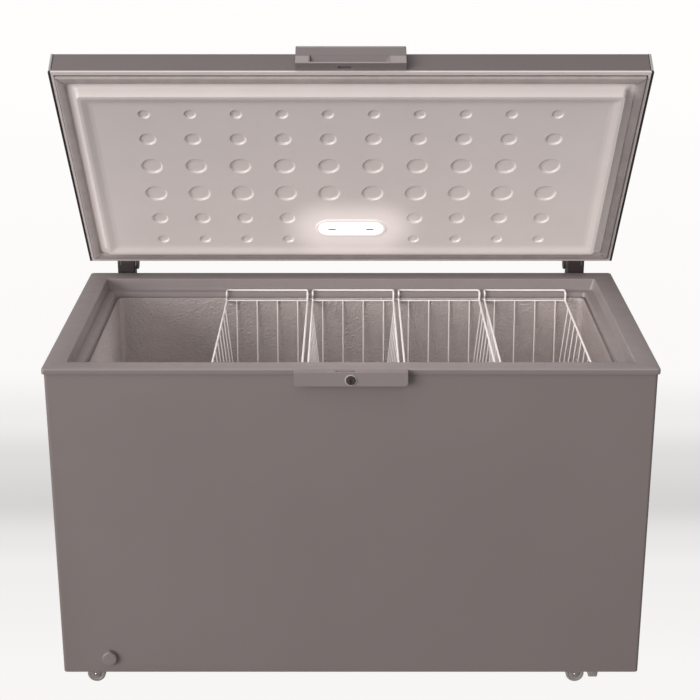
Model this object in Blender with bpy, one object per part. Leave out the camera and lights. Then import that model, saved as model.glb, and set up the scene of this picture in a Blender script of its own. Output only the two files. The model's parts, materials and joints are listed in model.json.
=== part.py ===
"""A chest freezer with its lid held open: cabinet, liner, lid, hinges, lock, drain, castors and baskets.

Metres, +Z up, floor at z = 0, front towards -Y. Lid pieces are drawn closed, then turned open about
the hinge line.
"""

from math import cos, pi, radians, sin

import bmesh
import bpy
from mathutils import Vector

GAP = 0.0003

# Rim and cabinet
RIM_X = 0.7025
RIM_FRONT = -0.376
RIM_REAR = 0.339
RIM_TOP = 0.842
RIM_LIP = 0.013
CABINET_INSET = 0.0045
CABINET_Z = 0.050
PAN = 0.0015
SHEET = 0.001
CORNER_R = 0.008

# Opening, basket ledge and liner
OPEN_X = 0.651
OPEN_FRONT = RIM_FRONT + 0.047
OPEN_REAR = RIM_REAR - 0.054
LEDGE_Z = RIM_TOP - 0.030
LEDGE_IN = 0.025
COLLAR_Z = RIM_TOP - 0.042
LINER_IN = 0.033
LINER_R = 0.018
LEDGE_R = 0.011
LINER_FLOOR = 0.112

# Compressor bay under a step in the liner, right-hand end
BAY_X = 0.430
BAY_TOP = 0.300
STEP_X = 0.368
STEP_TOP = 0.362
BAY_FLOOR = CABINET_Z + PAN + GAP
CAN_X, CAN_Y = 0.565, 0.090
KNOB_Y, KNOB_Z = -0.130, 0.180
MAINS_X, MAINS_Z = 0.560, 0.110

# Lid, drawn closed
LID_GAP = 0.008
LID_Z = RIM_TOP + LID_GAP
LID_TOP = LID_Z + 0.062
LID_LIP = 0.011
PIVOT_Y = RIM_REAR + 0.025
PIVOT_Z = RIM_TOP + 0.0232
OPEN_DEG = 55.0
PANEL_DROP = 0.030
DISH = 0.008
DISH_EASE = 0.001

# Dimples: distance forward of the hinge line, radius, and whether the lamp takes the two middle ones
DIMPLE_ROWS = (
    (0.6205, 0.0150, False),
    (0.5331, 0.0210, False),
    (0.4343, 0.0271, False),
    (0.3308, 0.0284, False),
    (0.2316, 0.0211, True),
    (0.1452, 0.0150, True),
)
DIMPLE_PITCH = 0.1092
DIMPLE_DEPTH = 0.004
LAMP_S = 0.192
LAMP_HALF = 0.092
LAMP_R = 0.034

# Handle and lock, on the middle of the front
PLATE_HALF = 0.129
HANDLE_OUT = 0.024
LOCK_OUT = 0.020
KEY_Z = RIM_TOP - 0.0185
BOLT_X = -0.0145
BOLT_Y = RIM_FRONT - 0.010

# Drain: the cap's middle on the front, and the plug's in the liner's floor
DRAIN_X, DRAIN_Z = -0.584, 0.0913
PLUG_X, PLUG_Y = -0.550, RIM_FRONT + 0.115

# Baskets
BASKET_X = (-0.2225, 0.0060, 0.2345, 0.4630)
BASKET_HALF = 0.1072
BASKET_REAR = OPEN_REAR - LINER_IN - 0.0035
BASKET_FRONT = OPEN_FRONT + LINER_IN + 0.0035
HANGER_Z = LEDGE_Z + 0.0028
FRAME_Z = RIM_TOP - 0.049
BASKET_Z = RIM_TOP - 0.300
TAPER = 0.026
THICK_WIRE = 0.0025
THIN_WIRE = 0.0016
LONG_WIRE_PITCH = 0.054
CROSS_WIRE_PITCH = 0.061

# Castors: kingpin x and y, and the way in which the wheel trails
WHEEL_R = 0.022
WHEEL_HALF = 0.009
TRAIL = 0.024
CASTORS = {
    "front_left": (-0.602, RIM_FRONT + 0.050, -1),
    "front_right": (0.527, RIM_FRONT + 0.050, 1),
    "rear_left": (-0.602, RIM_REAR - 0.070, -1),
    "rear_right": (0.575, RIM_REAR - 0.070, -1),
}

HINGE_X = 0.604
HINGE_HALF = 0.0275

materials = {}


def clear_scene():
    for obj in list(bpy.data.objects):
        bpy.data.objects.remove(obj, do_unlink=True)


def collection(name, parent):
    made = bpy.data.collections.new(name)
    parent.children.link(made)
    return made


def material(name, colour, roughness, metallic=0.0, glow=0.0):
    made = bpy.data.materials.new(name)
    made.use_nodes = True
    shader = made.node_tree.nodes["Principled BSDF"]
    shader.inputs["Base Color"].default_value = (*colour, 1)
    shader.inputs["Roughness"].default_value = roughness
    shader.inputs["Metallic"].default_value = metallic
    if glow:
        shader.inputs["Emission Color"].default_value = (1, 1, 1, 1)
        shader.inputs["Emission Strength"].default_value = glow
    materials[name] = made


def make_materials():
    material("body_paint", (0.20, 0.165, 0.16), 0.45)
    material("rim_plastic", (0.26, 0.225, 0.22), 0.5)
    material("liner_sheet", (0.45, 0.42, 0.41), 0.4, 0.8)
    material("lid_plastic", (0.62, 0.57, 0.55), 0.5)
    material("seal_rubber", (0.36, 0.32, 0.31), 0.7)
    material("foam", (0.80, 0.68, 0.42), 0.9)
    material("steel", (0.50, 0.50, 0.50), 0.4, 0.9)
    material("wire_coat", (0.85, 0.82, 0.81), 0.4)
    material("dark_plastic", (0.05, 0.04, 0.038), 0.5)
    material("wheel_plastic", (0.33, 0.29, 0.28), 0.5)
    material("chrome", (0.75, 0.75, 0.75), 0.15, 1.0)
    material("black_paint", (0.02, 0.02, 0.02), 0.4)
    material("copper", (0.72, 0.37, 0.22), 0.3, 1.0)
    material("rubber", (0.03, 0.03, 0.03), 0.8)
    material("lamp_lens", (0.95, 0.95, 0.95), 0.3, 0.0, 4.0)
    material("board", (0.85, 0.87, 0.85), 0.5)


# Meshes


def rounded(x0, x1, y0, y1, z, r, steps=2):
    """Points of a rectangle with round corners at height z, anticlockwise from above."""
    points = []
    corners = ((x1, y1, -1, -1, 0), (x0, y1, 1, -1, 90), (x0, y0, 1, 1, 180), (x1, y0, -1, 1, 270))
    for x, y, in_x, in_y, start in corners:
        for i in range(steps + 1):
            a = radians(start + 90 * i / steps)
            points.append((x + in_x * r + r * cos(a), y + in_y * r + r * sin(a), z))
    return points


def inset_loop(x, front, rear, by, z, r, steps=2):
    """A rounded rectangle centred on x = 0, moved in by a distance on every side."""
    return rounded(by - x, x - by, front + by, rear - by, z, r, steps)


def add_loft(bm, loops, cyclic=False):
    """Skins loops of equally many points. The first and last are capped, unless they meet."""
    rings = [[bm.verts.new(p) for p in loop] for loop in loops]
    following = rings[1:] + rings[:1] if cyclic else rings[1:]
    for ring, after in zip(rings, following):
        for i in range(len(ring)):
            j = (i + 1) % len(ring)
            bm.faces.new((ring[i], ring[j], after[j], after[i]))
    if not cyclic:
        bm.faces.new(list(reversed(rings[0])))
        bm.faces.new(rings[-1])


def loft(loops, cyclic=False):
    bm = bmesh.new()
    add_loft(bm, loops, cyclic)
    return bm


def add_prism(bm, outline, axis, low, high):
    """An outline of 2-D points carried along an axis: (y, z) for X, (x, z) for Y, (x, y) for Z."""

    def placed(p, along):
        point = list(p)
        point.insert("XYZ".index(axis), along)
        return point

    add_loft(bm, [[placed(p, low) for p in outline], [placed(p, high) for p in outline]])


def prism(outline, axis, low, high):
    bm = bmesh.new()
    add_prism(bm, outline, axis, low, high)
    return bm


def add_box(bm, x, y, z):
    add_prism(bm, ((x[0], y[0]), (x[1], y[0]), (x[1], y[1]), (x[0], y[1])), "Z", z[0], z[1])


def box(x, y, z):
    bm = bmesh.new()
    add_box(bm, x, y, z)
    return bm


def circle(u, v, r, sides):
    """2-D points of a regular polygon with a flat that faces down."""
    first = -pi / 2 + pi / sides
    angles = [first + 2 * pi * i / sides for i in range(sides)]
    return [(u + r * cos(a), v + r * sin(a)) for a in angles]


def cylinder(axis, u, v, r, low, high, sides=16):
    return prism(circle(u, v, r, sides), axis, low, high)


def pill(u, v, half, r, steps=8):
    """2-D points of a slot shape, half as long as it reaches along u."""
    turns = [pi * i / steps - pi / 2 for i in range(steps + 1)]
    right = [(u + half - r + r * cos(a), v + r * sin(a)) for a in turns]
    left = [(u - half + r - r * cos(a), v - r * sin(a)) for a in turns]
    return right + left


def add_wire(bm, points, normal, r, sides=4):
    """A wire along straight runs in a plane with this normal, mitred where they meet."""
    points = [Vector(p) for p in points]
    up = Vector(normal).normalized()
    runs = [(b - a).normalized() for a, b in zip(points, points[1:])]
    across = [up.cross(run) for run in runs]
    loops = []
    for i, point in enumerate(points):
        before, after = across[max(i - 1, 0)], across[min(i, len(across) - 1)]
        side = (before + after) / (1 + before.dot(after))
        ring = []
        for k in range(sides):
            a = 2 * pi * (k + 0.5) / sides
            ring.append(point + r * (cos(a) * side + sin(a) * up))
        loops.append(ring)
    add_loft(bm, loops)


def add_tube(bm, points, r, sides=6):
    """A tube through points in space, with each ring square to the way on."""
    points = [Vector(p) for p in points]
    loops = []
    side = None
    for i, point in enumerate(points):
        way = (points[min(i + 1, len(points) - 1)] - points[max(i - 1, 0)]).normalized()
        if side is None:
            side = way.orthogonal().normalized()
        side = (side - side.dot(way) * way).normalized()
        up = way.cross(side)
        angles = [2 * pi * k / sides for k in range(sides)]
        loops.append([point + r * (cos(a) * side + sin(a) * up) for a in angles])
    add_loft(bm, loops)


def as_object(bm, name):
    bmesh.ops.recalc_face_normals(bm, faces=bm.faces)
    mesh = bpy.data.meshes.new(name)
    bm.to_mesh(mesh)
    bm.free()
    obj = bpy.data.objects.new(name, mesh)
    bpy.context.scene.collection.objects.link(obj)
    return obj


def boolean(base, operation, *tools, overlapping=False):
    """The mesh of base after a Boolean with each tool in turn."""
    obj = as_object(base, "base")
    helpers = [as_object(tool, "tool") for tool in tools]
    for helper in helpers:
        step = obj.modifiers.new("Boolean", "BOOLEAN")
        step.solver = "EXACT"
        step.operation = operation
        step.object = helper
        step.use_self = overlapping
    made = bmesh.new()
    made.from_object(obj, bpy.context.evaluated_depsgraph_get())
    bmesh.ops.remove_doubles(made, verts=made.verts, dist=1e-6)
    for used in [obj, *helpers]:
        bpy.data.objects.remove(used)
    return made


def cut(base, *tools):
    return boolean(base, "DIFFERENCE", *tools)


def joined(base, *tools, overlapping=False):
    return boolean(base, "UNION", *tools, overlapping=overlapping)


class Maker:
    """Adds finished objects to one collection, each with its origin where it turns or slides."""

    def __init__(self, home):
        self.home = home
        self.lid_axis = self.empty("lid_axis", (0, PIVOT_Y, PIVOT_Z))
        self.lid_axis.rotation_euler.x = -radians(OPEN_DEG)

    def empty(self, name, at):
        obj = bpy.data.objects.new(name, None)
        obj.location = at
        obj.empty_display_size = 0.05
        self.home.objects.link(obj)
        return obj

    def add(self, name, bm, look, origin=(0, 0, 0)):
        bmesh.ops.translate(bm, verts=bm.verts, vec=-Vector(origin))
        obj = as_object(bm, name)
        bpy.context.scene.collection.objects.unlink(obj)
        self.home.objects.link(obj)
        obj.location = origin
        obj.data.materials.append(materials[look])
        return obj

    def add_lid(self, name, bm, look):
        """A piece drawn closed, carried by the lid's axis."""
        pivot = (0, PIVOT_Y, PIVOT_Z)
        obj = self.add(name, bm, look, pivot)
        obj.parent = self.lid_axis
        obj.location = (0, 0, 0)
        return obj


def rim_loop(by, z, r=CORNER_R, steps=2):
    return inset_loop(RIM_X, RIM_FRONT, RIM_REAR, by, z, r, steps)


def opening_loop(by, z, r=LINER_R, steps=2):
    return inset_loop(OPEN_X, OPEN_FRONT, OPEN_REAR, by, z, r, steps)


# Cabinet


def add_cabinet(make):
    shell_top = RIM_TOP - RIM_LIP - 2 * GAP
    outside, inside = CABINET_INSET, CABINET_INSET + SHEET
    shell = loft(
        [
            rim_loop(outside, CABINET_Z),
            rim_loop(outside, shell_top),
            rim_loop(inside, shell_top, CORNER_R - SHEET),
            rim_loop(inside, CABINET_Z, CORNER_R - SHEET),
        ],
        cyclic=True,
    )
    side_window = box((0.60, 0.75), (-0.185, 0.145), (0.092, 0.268))
    drain_hole = cylinder("Y", DRAIN_X, DRAIN_Z, 0.0125, RIM_FRONT - 0.02, RIM_FRONT + 0.02)
    mains_hole = cylinder("Y", MAINS_X, MAINS_Z, 0.0105, RIM_REAR - 0.02, RIM_REAR + 0.02)
    make.add("outer_shell", cut(shell, side_window, drain_hole, mains_hole), "body_paint")

    pan = inside + GAP
    plate = loft([rim_loop(pan, CABINET_Z), rim_loop(pan, CABINET_Z + PAN)])
    vents = bmesh.new()
    for i in range(6):
        y = -0.20 + 0.07 * i
        add_box(vents, (0.47, 0.67), (y, y + 0.012), (CABINET_Z - 0.01, CABINET_Z + 0.01))
    make.add("base_pan", cut(plate, vents), "steel")


def add_collar(make):
    lip = RIM_TOP - RIM_LIP
    skirt, skirt_r = 0.0005, 0.008
    make.add(
        "rim_collar",
        loft(
            [
                rim_loop(0, lip),
                rim_loop(0, RIM_TOP - 0.002),
                rim_loop(0.002, RIM_TOP),
                opening_loop(-0.0015, RIM_TOP, 0.0045),
                opening_loop(0, RIM_TOP - 0.0015, 0.006),
                opening_loop(0.004, LEDGE_Z, LEDGE_R),
                opening_loop(LEDGE_IN - 0.0015, LEDGE_Z, LEDGE_R),
                opening_loop(LEDGE_IN, LEDGE_Z - 0.0015, LEDGE_R),
                opening_loop(LEDGE_IN + 0.002, COLLAR_Z, LEDGE_R),
                opening_loop(skirt, COLLAR_Z, skirt_r),
                opening_loop(skirt, lip, skirt_r),
                rim_loop(0.0418, lip, 0.02),
            ],
            cyclic=True,
        ),
        "rim_plastic",
    )


def liner_box(by, z, r=LINER_R):
    return opening_loop(LINER_IN + by, z, r)


def add_liner(make):
    top = COLLAR_Z - GAP
    t = SHEET
    cup = loft(
        [
            liner_box(0, LINER_FLOOR + t),
            liner_box(0, top),
            liner_box(-0.022, top),
            liner_box(-0.022, top - t),
            liner_box(-t, top - t, LINER_R + t),
            liner_box(-t, LINER_FLOOR, LINER_R + t),
        ]
    )
    front, rear = OPEN_FRONT + LINER_IN, OPEN_REAR - LINER_IN
    block = loft([liner_box(-t / 2, z, LINER_R + t / 2) for z in (LINER_FLOOR + t / 2, STEP_TOP)])
    block = cut(block, box((-0.75, STEP_X), (front - 0.02, rear + 0.02), (0.05, 0.50)))
    under = box((STEP_X + t, 0.75), (front - 0.02, rear + 0.02), (0.05, STEP_TOP - t))
    drain = cylinder("Z", PLUG_X, PLUG_Y, 0.0095, 0.09, 0.13)
    make.add("inner_liner", cut(joined(cup, block), under, drain), "liner_sheet")


def add_foam(make):
    side = CABINET_INSET + SHEET + GAP
    high = RIM_TOP - RIM_LIP - 2 * GAP
    ledge = COLLAR_Z - 0.0016
    t = SHEET + GAP
    body = loft(
        [
            rim_loop(side, BAY_FLOOR),
            rim_loop(side, high),
            rim_loop(0.0445, high, 0.006),
            opening_loop(0.0002, ledge, 0.007),
            liner_box(-t, ledge, LINER_R + t),
            liner_box(-t, LINER_FLOOR - GAP, LINER_R + t),
        ]
    )
    front, rear = OPEN_FRONT + LINER_IN, OPEN_REAR - LINER_IN
    step = box((STEP_X + t, 0.65), (front - 0.01, rear + 0.01), (0.08, STEP_TOP - t))
    bay = box((BAY_X, 0.75), (RIM_FRONT - 0.05, RIM_REAR + 0.05), (0.0, BAY_TOP))
    drain = cylinder("Z", PLUG_X, PLUG_Y, 0.0120, 0.075, 0.13)
    spout = cylinder("Y", DRAIN_X, DRAIN_Z, 0.0125, RIM_FRONT - 0.02, RIM_FRONT + 0.130)
    bend = (DRAIN_Z - 0.0110, DRAIN_Z + 0.0100)
    across = box((DRAIN_X - 0.0105, PLUG_X + 0.0105), (PLUG_Y - 0.0110, PLUG_Y + 0.0110), bend)
    make.add("insulation_foam", cut(joined(body, step), bay, drain, spout, across), "foam")


def add_bay(make):
    near, far = GAP, GAP + SHEET
    out = RIM_X - 0.0076
    outline = ((BAY_X + near, BAY_FLOOR), (BAY_X + far, BAY_FLOOR), (BAY_X + far, BAY_TOP - far))
    outline += ((out, BAY_TOP - far), (out, BAY_TOP - near), (BAY_X + near, BAY_TOP - near))
    make.add("bay_panel", prism(outline, "Y", RIM_FRONT + 0.015, RIM_REAR - 0.015), "steel")

    x, y = CAN_X, CAN_Y
    profile = ((0.050, 0.066), (0.078, 0.082), (0.084, 0.115))
    profile += ((0.084, 0.180), (0.072, 0.215), (0.040, 0.232))
    can = loft([[(x + px, y + py, z) for px, py in circle(0, 0, r, 20)] for r, z in profile])
    foot = box((x - 0.085, x + 0.085), (y - 0.110, y + 0.110), (0.0625, 0.0675))
    make.add("compressor", joined(can, foot), "black_paint")
    for i, (dx, dy) in enumerate(((-1, -1), (1, -1), (-1, 1), (1, 1)), 1):
        mount = cylinder("Z", x + dx * 0.070, y + dy * 0.095, 0.011, BAY_FLOOR, 0.0625 - GAP, 10)
        make.add(f"compressor_mount_{i}", mount, "rubber")
    relay = box((x - 0.025, x + 0.025), (y - 0.128, y - 0.086), (0.115, 0.175))
    make.add("start_relay", relay, "dark_plastic")

    drier = loft([[(0.470 + px, 0.240 + py, z) for px, py in circle(0, 0, r, 10)]
                  for r, z in ((0.004, 0.100), (0.010, 0.110), (0.010, 0.190), (0.004, 0.200))])
    make.add("filter_drier", drier, "copper")
    suction = bmesh.new()
    bend = ((x - 0.040, y + 0.079, 0.150), (x - 0.040, y + 0.110, 0.150), (x - 0.040, y + 0.125, 0.165),
            (x - 0.040, y + 0.125, 0.250), (x - 0.055, y + 0.125, 0.270), (x - 0.130, y + 0.125, 0.270))
    add_tube(suction, bend, 0.0045)
    make.add("suction_tube", suction, "copper")
    discharge = bmesh.new()
    bend = ((x + 0.040, y + 0.079, 0.130), (x + 0.040, y + 0.130, 0.130), (x + 0.025, y + 0.150, 0.130),
            (0.485, y + 0.150, 0.130), (0.4804, y + 0.150, 0.130))
    add_tube(discharge, bend, 0.003)
    make.add("discharge_tube", discharge, "copper")


def add_side_grille(make):
    x0, x1 = RIM_X - CABINET_INSET + GAP, RIM_X - 0.003
    plate = prism(rounded_2d(-0.205, 0.165, 0.076, 0.284, 0.010), "X", x0, x1)
    slots = bmesh.new()
    for i in range(9):
        z = 0.108 + 0.017 * i
        add_box(slots, (0.68, 0.72), (-0.060, 0.130), (z, z + 0.008))
    knob_hole = cylinder("X", KNOB_Y, KNOB_Z, 0.0215, 0.68, 0.72, 20)
    make.add("side_grille", cut(plate, slots, knob_hole), "dark_plastic")
    body = box((0.630, 0.6845), (KNOB_Y - 0.030, KNOB_Y + 0.030), (KNOB_Z - 0.030, KNOB_Z + 0.030))
    make.add("thermostat_body", body, "dark_plastic")
    knob = cylinder("X", KNOB_Y, KNOB_Z, 0.0195, 0.6850, 0.7010, 20)
    groove = box((0.6990, 0.7050), (KNOB_Y - 0.0012, KNOB_Y + 0.0012), (KNOB_Z + 0.004, KNOB_Z + 0.025))
    make.add("thermostat_knob", cut(knob, groove), "rim_plastic", (0.6850, KNOB_Y, KNOB_Z))


def rounded_2d(u0, u1, v0, v1, r, steps=2):
    return [(p[0], p[1]) for p in rounded(u0, u1, v0, v1, 0, r, steps)]


def add_rear(make):
    y0 = RIM_REAR - CABINET_INSET + GAP
    for side, x in (("left", -0.36), ("right", 0.36)):
        outline = ((y0, 0.42), (y0 + 0.022, 0.43), (y0 + 0.022, 0.47), (y0, 0.48))
        spacer = prism(outline, "X", x - 0.02, x + 0.02)
        make.add(f"wall_spacer_{side}", spacer, "dark_plastic")
    neck = cylinder("Y", MAINS_X, MAINS_Z, 0.0100, RIM_REAR - 0.022, y0 + 0.010, 12)
    flange = cylinder("Y", MAINS_X, MAINS_Z, 0.0150, y0, y0 + 0.004, 12)
    bore = cylinder("Y", MAINS_X, MAINS_Z, 0.0050, RIM_REAR - 0.03, RIM_REAR + 0.03, 12)
    make.add("mains_gland", cut(joined(neck, flange), bore), "dark_plastic")


# Drain


def drop_outline(x, z, r, tip):
    """A drop with its point up: a round lower part and straight sides that meet at the tip."""
    angles = [radians(120 + 25 * i) for i in range(13)]
    lower = [(x + r * cos(a), z + r * sin(a)) for a in angles]
    return [*lower, (x + 0.0025, z + tip), (x - 0.0025, z + tip)]


def add_drain(make):
    x, z = DRAIN_X, DRAIN_Z
    face = RIM_FRONT + CABINET_INSET - GAP
    rings = ((0, 0.0185, 0.0210), (0.0075, 0.0185, 0.0210), (0.0110, 0.0150, 0.0172))
    cap = loft([[(u, face - out, v) for u, v in drop_outline(x, z, r, tip)] for out, r, tip in rings])
    stem = cylinder("Y", x, z, 0.0060, face - 0.004, face + 0.020, 12)
    make.add("drain_cap", joined(cap, stem), "rim_plastic", (x, face, z))

    pipe = cylinder("Y", x, z, 0.0100, face + 0.001, PLUG_Y - 0.001, 12)
    riser = box((x - 0.008, PLUG_X + 0.0085), (PLUG_Y - 0.0085, PLUG_Y + 0.0085), (z - 0.0080, z + 0.0070))
    up = cylinder("Z", PLUG_X, PLUG_Y, 0.0080, z + 0.0010, LINER_FLOOR - 2 * GAP, 12)
    bore = cylinder("Y", x, z, 0.0075, face - 0.01, PLUG_Y - 0.005, 12)
    throat = cylinder("Z", PLUG_X, PLUG_Y, 0.0060, z - 0.0010, 0.13, 12)
    through = box((x - 0.004, PLUG_X + 0.004), (PLUG_Y - 0.0060, PLUG_Y + 0.0060), (z - 0.0050, z + 0.0040))
    make.add("drain_pipe", cut(joined(pipe, riser, up), bore, throat, through), "lid_plastic")

    seat = LINER_FLOOR + SHEET + GAP
    sizes = ((0.0050, 0.104), (0.0055, seat), (0.0150, seat))
    sizes += ((0.0150, 0.1165), (0.0045, 0.1170), (0.0045, 0.126))
    plug = loft([[(px, py, h) for px, py in circle(PLUG_X, PLUG_Y, r, 14)] for r, h in sizes])
    make.add("drain_plug", plug, "rubber", (PLUG_X, PLUG_Y, seat))


# Castors


def add_castor(make, name, x, y, way):
    top = CABINET_Z - GAP
    axle_x = x + way * TRAIL
    crown = 2 * WHEEL_R + 0.0012
    half = WHEEL_HALF + 0.0006
    stem = cylinder("Z", x, y, 0.007, crown + 0.0005, top, 12)
    x0, x1 = sorted((axle_x + way * 0.012, x - way * 0.011))
    wide = half + 0.0018
    bridge = prism(rounded_2d(x0, x1, y - wide, y + wide, 0.005), "Z", crown, crown + 0.0016)
    outline = [(axle_x + way * 0.012, crown + 0.0008), (axle_x + way * 0.0075, WHEEL_R - 0.004)]
    outline += [(axle_x, WHEEL_R - 0.0075), (axle_x - way * 0.0075, WHEEL_R - 0.004)]
    outline += [(x - way * 0.008, crown + 0.0008)]
    near = prism(outline, "Y", y - wide, y - half)
    far = prism(outline, "Y", y + half, y + wide)
    axle = cylinder("Y", axle_x, WHEEL_R, 0.0030, y - half - 0.0030, y + half + 0.0030, 8)
    make.add(f"castor_fork_{name}", joined(bridge, stem, near, far, axle), "steel", (x, y, CABINET_Z))

    r = WHEEL_R / cos(pi / 16)
    rings = [(-WHEEL_HALF, r - 0.002), (-WHEEL_HALF + 0.0015, r)]
    rings += [(WHEEL_HALF - 0.0015, r), (WHEEL_HALF, r - 0.002)]
    loops = []
    for along, radius in rings:
        loops.append([(u, y + along, v) for u, v in circle(axle_x, WHEEL_R, radius, 16)])
    bore = cylinder("Y", axle_x, WHEEL_R, 0.0036, y - 0.02, y + 0.02, 8)
    make.add(f"castor_wheel_{name}", cut(loft(loops), bore), "wheel_plastic", (axle_x, y, WHEEL_R))


def add_castors(make):
    for name, (x, y, way) in CASTORS.items():
        add_castor(make, name, x, y, way)
    foot = loft(
        [
            rounded(0.5830, 0.6050, RIM_FRONT + 0.034, RIM_FRONT + 0.062, 0.0180, 0.003),
            rounded(0.5800, 0.6080, RIM_FRONT + 0.030, RIM_FRONT + 0.066, CABINET_Z - GAP, 0.003),
        ]
    )
    make.add("foot_block", foot, "wheel_plastic")


# Lock


def add_lock(make):
    front = RIM_FRONT - LOCK_OUT
    low, high = RIM_TOP - 0.0335, RIM_TOP - 0.0005
    back, wall = RIM_FRONT - GAP, RIM_FRONT + CABINET_INSET - GAP
    lip = RIM_TOP - RIM_LIP - GAP
    outline = ((front, low + 0.004), (front + 0.004, low), (wall, low), (wall, lip))
    outline += ((back, lip), (back, high), (front + 0.003, high), (front, high - 0.003))
    plate = prism(outline, "X", -PLATE_HALF, PLATE_HALF)
    corners = bmesh.new()
    for side in (-1, 1):
        x = side * PLATE_HALF
        out, inward = x + side * 0.002, x - side * 0.007
        triangle = ((out, low - 0.002), (inward, low - 0.002), (out, low + 0.007))
        add_prism(corners, triangle, "Y", front - 0.01, wall + 0.01)
    across = (BOLT_X - 0.0205, BOLT_X + 0.0240)
    slot = box(across, (BOLT_Y - 0.0026, BOLT_Y + 0.0026), (low + 0.0050, high + 0.01))
    barrel_hole = cylinder("Y", 0, KEY_Z, 0.0104, front - 0.01, BOLT_Y, 20)
    make.add("lock_plate", cut(plate, corners, slot, barrel_hole), "rim_plastic")

    ring = cylinder("Y", 0, KEY_Z, 0.0135, front - 0.0018, front - GAP, 20)
    hole = cylinder("Y", 0, KEY_Z, 0.0104, front - 0.01, front + 0.01, 20)
    make.add("lock_ring", cut(ring, hole), "chrome")
    barrel = cylinder("Y", 0, KEY_Z, 0.0100, front - 0.0025, BOLT_Y - 0.0030, 20)
    key_slot = box((-0.0011, 0.0011), (front - 0.01, front + 0.004), (KEY_Z - 0.0055, KEY_Z + 0.0055))
    make.add("lock_barrel", cut(barrel, key_slot), "black_paint", (0, front, KEY_Z))
    across = (BOLT_X - 0.0150, BOLT_X + 0.0150)
    bolt = box(across, (BOLT_Y - 0.0020, BOLT_Y + 0.0020), (low + 0.0056, high - 0.0010))
    make.add("lock_bolt", bolt, "steel", (BOLT_X, BOLT_Y, low + 0.0056))


# Baskets


def add_basket(make, number, x):
    thick, thin = THICK_WIRE, THIN_WIRE
    left, right = x - BASKET_HALF, x + BASKET_HALF
    hang_rear, hang_front = OPEN_REAR - 0.0140, OPEN_FRONT + 0.0140
    wires = bmesh.new()
    y0, y1 = BASKET_FRONT, BASKET_REAR
    for side in (left, right):
        path = [(side, hang_rear, HANGER_Z), (side, y1, HANGER_Z), (side, y1, FRAME_Z)]
        path += [(side, y0, FRAME_Z), (side, y0, HANGER_Z), (side, hang_front, HANGER_Z)]
        add_wire(wires, path, (1, 0, 0), thick, 6)
    for y in (hang_rear, hang_front):
        ends = ((left - thick / 2, y, HANGER_Z), (right + thick / 2, y, HANGER_Z))
        add_wire(wires, ends, (0, 0, 1), thick, 6)
    for y in (y0, y1):
        add_wire(wires, ((left, y, FRAME_Z), (right, y, FRAME_Z)), (0, 0, 1), thin)
    for k in (-1.5, -0.5, 0.5, 1.5):
        at = x + k * LONG_WIRE_PITCH
        path = [(at, y1, FRAME_Z), (at, y1 - TAPER, BASKET_Z)]
        path += [(at, y0 + TAPER, BASKET_Z), (at, y0, FRAME_Z)]
        add_wire(wires, path, (1, 0, 0), thin)
    cross = bmesh.new()
    for k in range(8):
        y = y1 - 0.057 - CROSS_WIRE_PITCH * k
        low = BASKET_Z - 1.2 * thin
        path = [(left, y, FRAME_Z), (left + TAPER, y, low)]
        path += [(right - TAPER, y, low), (right, y, FRAME_Z)]
        add_wire(cross, path, (0, 1, 0), thin)
    at = (x, BASKET_REAR, FRAME_Z)
    make.add(f"basket_{number}", joined(wires, cross, overlapping=True), "wire_coat", at)


# Lid, drawn closed


def panel_loop(by, z, r=0.020, steps=2):
    """A loop of the raised inner panel, moved in from its outline."""
    x = 0.643
    front, rear = PIVOT_Y - 0.686, PIVOT_Y - 0.086
    return rounded(by - x, x - by, front + by, rear - by, z, r, steps)


def add_lid_shell(make):
    t = SHEET
    shell = loft(
        [
            rim_loop(0.006, LID_TOP, 0.004),
            rim_loop(0, LID_TOP - 0.006),
            rim_loop(0, LID_Z),
            rim_loop(LID_LIP, LID_Z, 0.004),
            rim_loop(LID_LIP, LID_Z + t, 0.004),
            rim_loop(t, LID_Z + t, CORNER_R - t),
            rim_loop(t, LID_TOP - 0.006, CORNER_R - t),
            rim_loop(0.0064, LID_TOP - t, 0.0034),
        ]
    )
    make.add_lid("lid_skin", shell, "body_paint")


def dimple_places():
    for s, r, lamp in DIMPLE_ROWS:
        for k in range(10):
            if not (lamp and k in (4, 5)):
                yield (k - 4.5) * DIMPLE_PITCH, PIVOT_Y - s, r


def add_lid_panel(make):
    t = 0.002
    low = LID_Z - PANEL_DROP
    field = low + DISH
    panel = loft(
        [
            panel_loop(0.033, field, 0.012),
            panel_loop(0.024, field - DISH_EASE, 0.014),
            panel_loop(0.008, low),
            panel_loop(0.0015, low),
            panel_loop(0, low + 0.0015),
            panel_loop(-0.0065, LID_Z - 0.005),
            panel_loop(-0.0140, LID_Z),
            rim_loop(LID_LIP + GAP, LID_Z, 0.004),
            rim_loop(LID_LIP + GAP, LID_Z + t, 0.004),
            panel_loop(-0.0120, LID_Z + t),
            panel_loop(-0.0045, LID_Z - 0.004),
            panel_loop(0.002, low + t),
            panel_loop(0.008, low + t),
            panel_loop(0.024, field + t - DISH_EASE, 0.014),
            panel_loop(0.033, field + t, 0.012),
        ]
    )
    dents = bmesh.new()
    for x, y, r in dimple_places():
        rings = ((r, field - 0.001), (r, field), (0.72 * r, field + DIMPLE_DEPTH - t - GAP))
        add_loft(dents, [[(x + u, y + v, z) for u, v in circle(0, 0, radius, 8)] for radius, z in rings])
    slot = pill(0, PIVOT_Y - LAMP_S, LAMP_HALF - 0.006, LAMP_R - 0.006)
    window = prism(slot, "Z", low - 0.01, field + 0.01)
    make.add_lid("lid_panel", cut(panel, dents, window), "lid_plastic")


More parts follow.
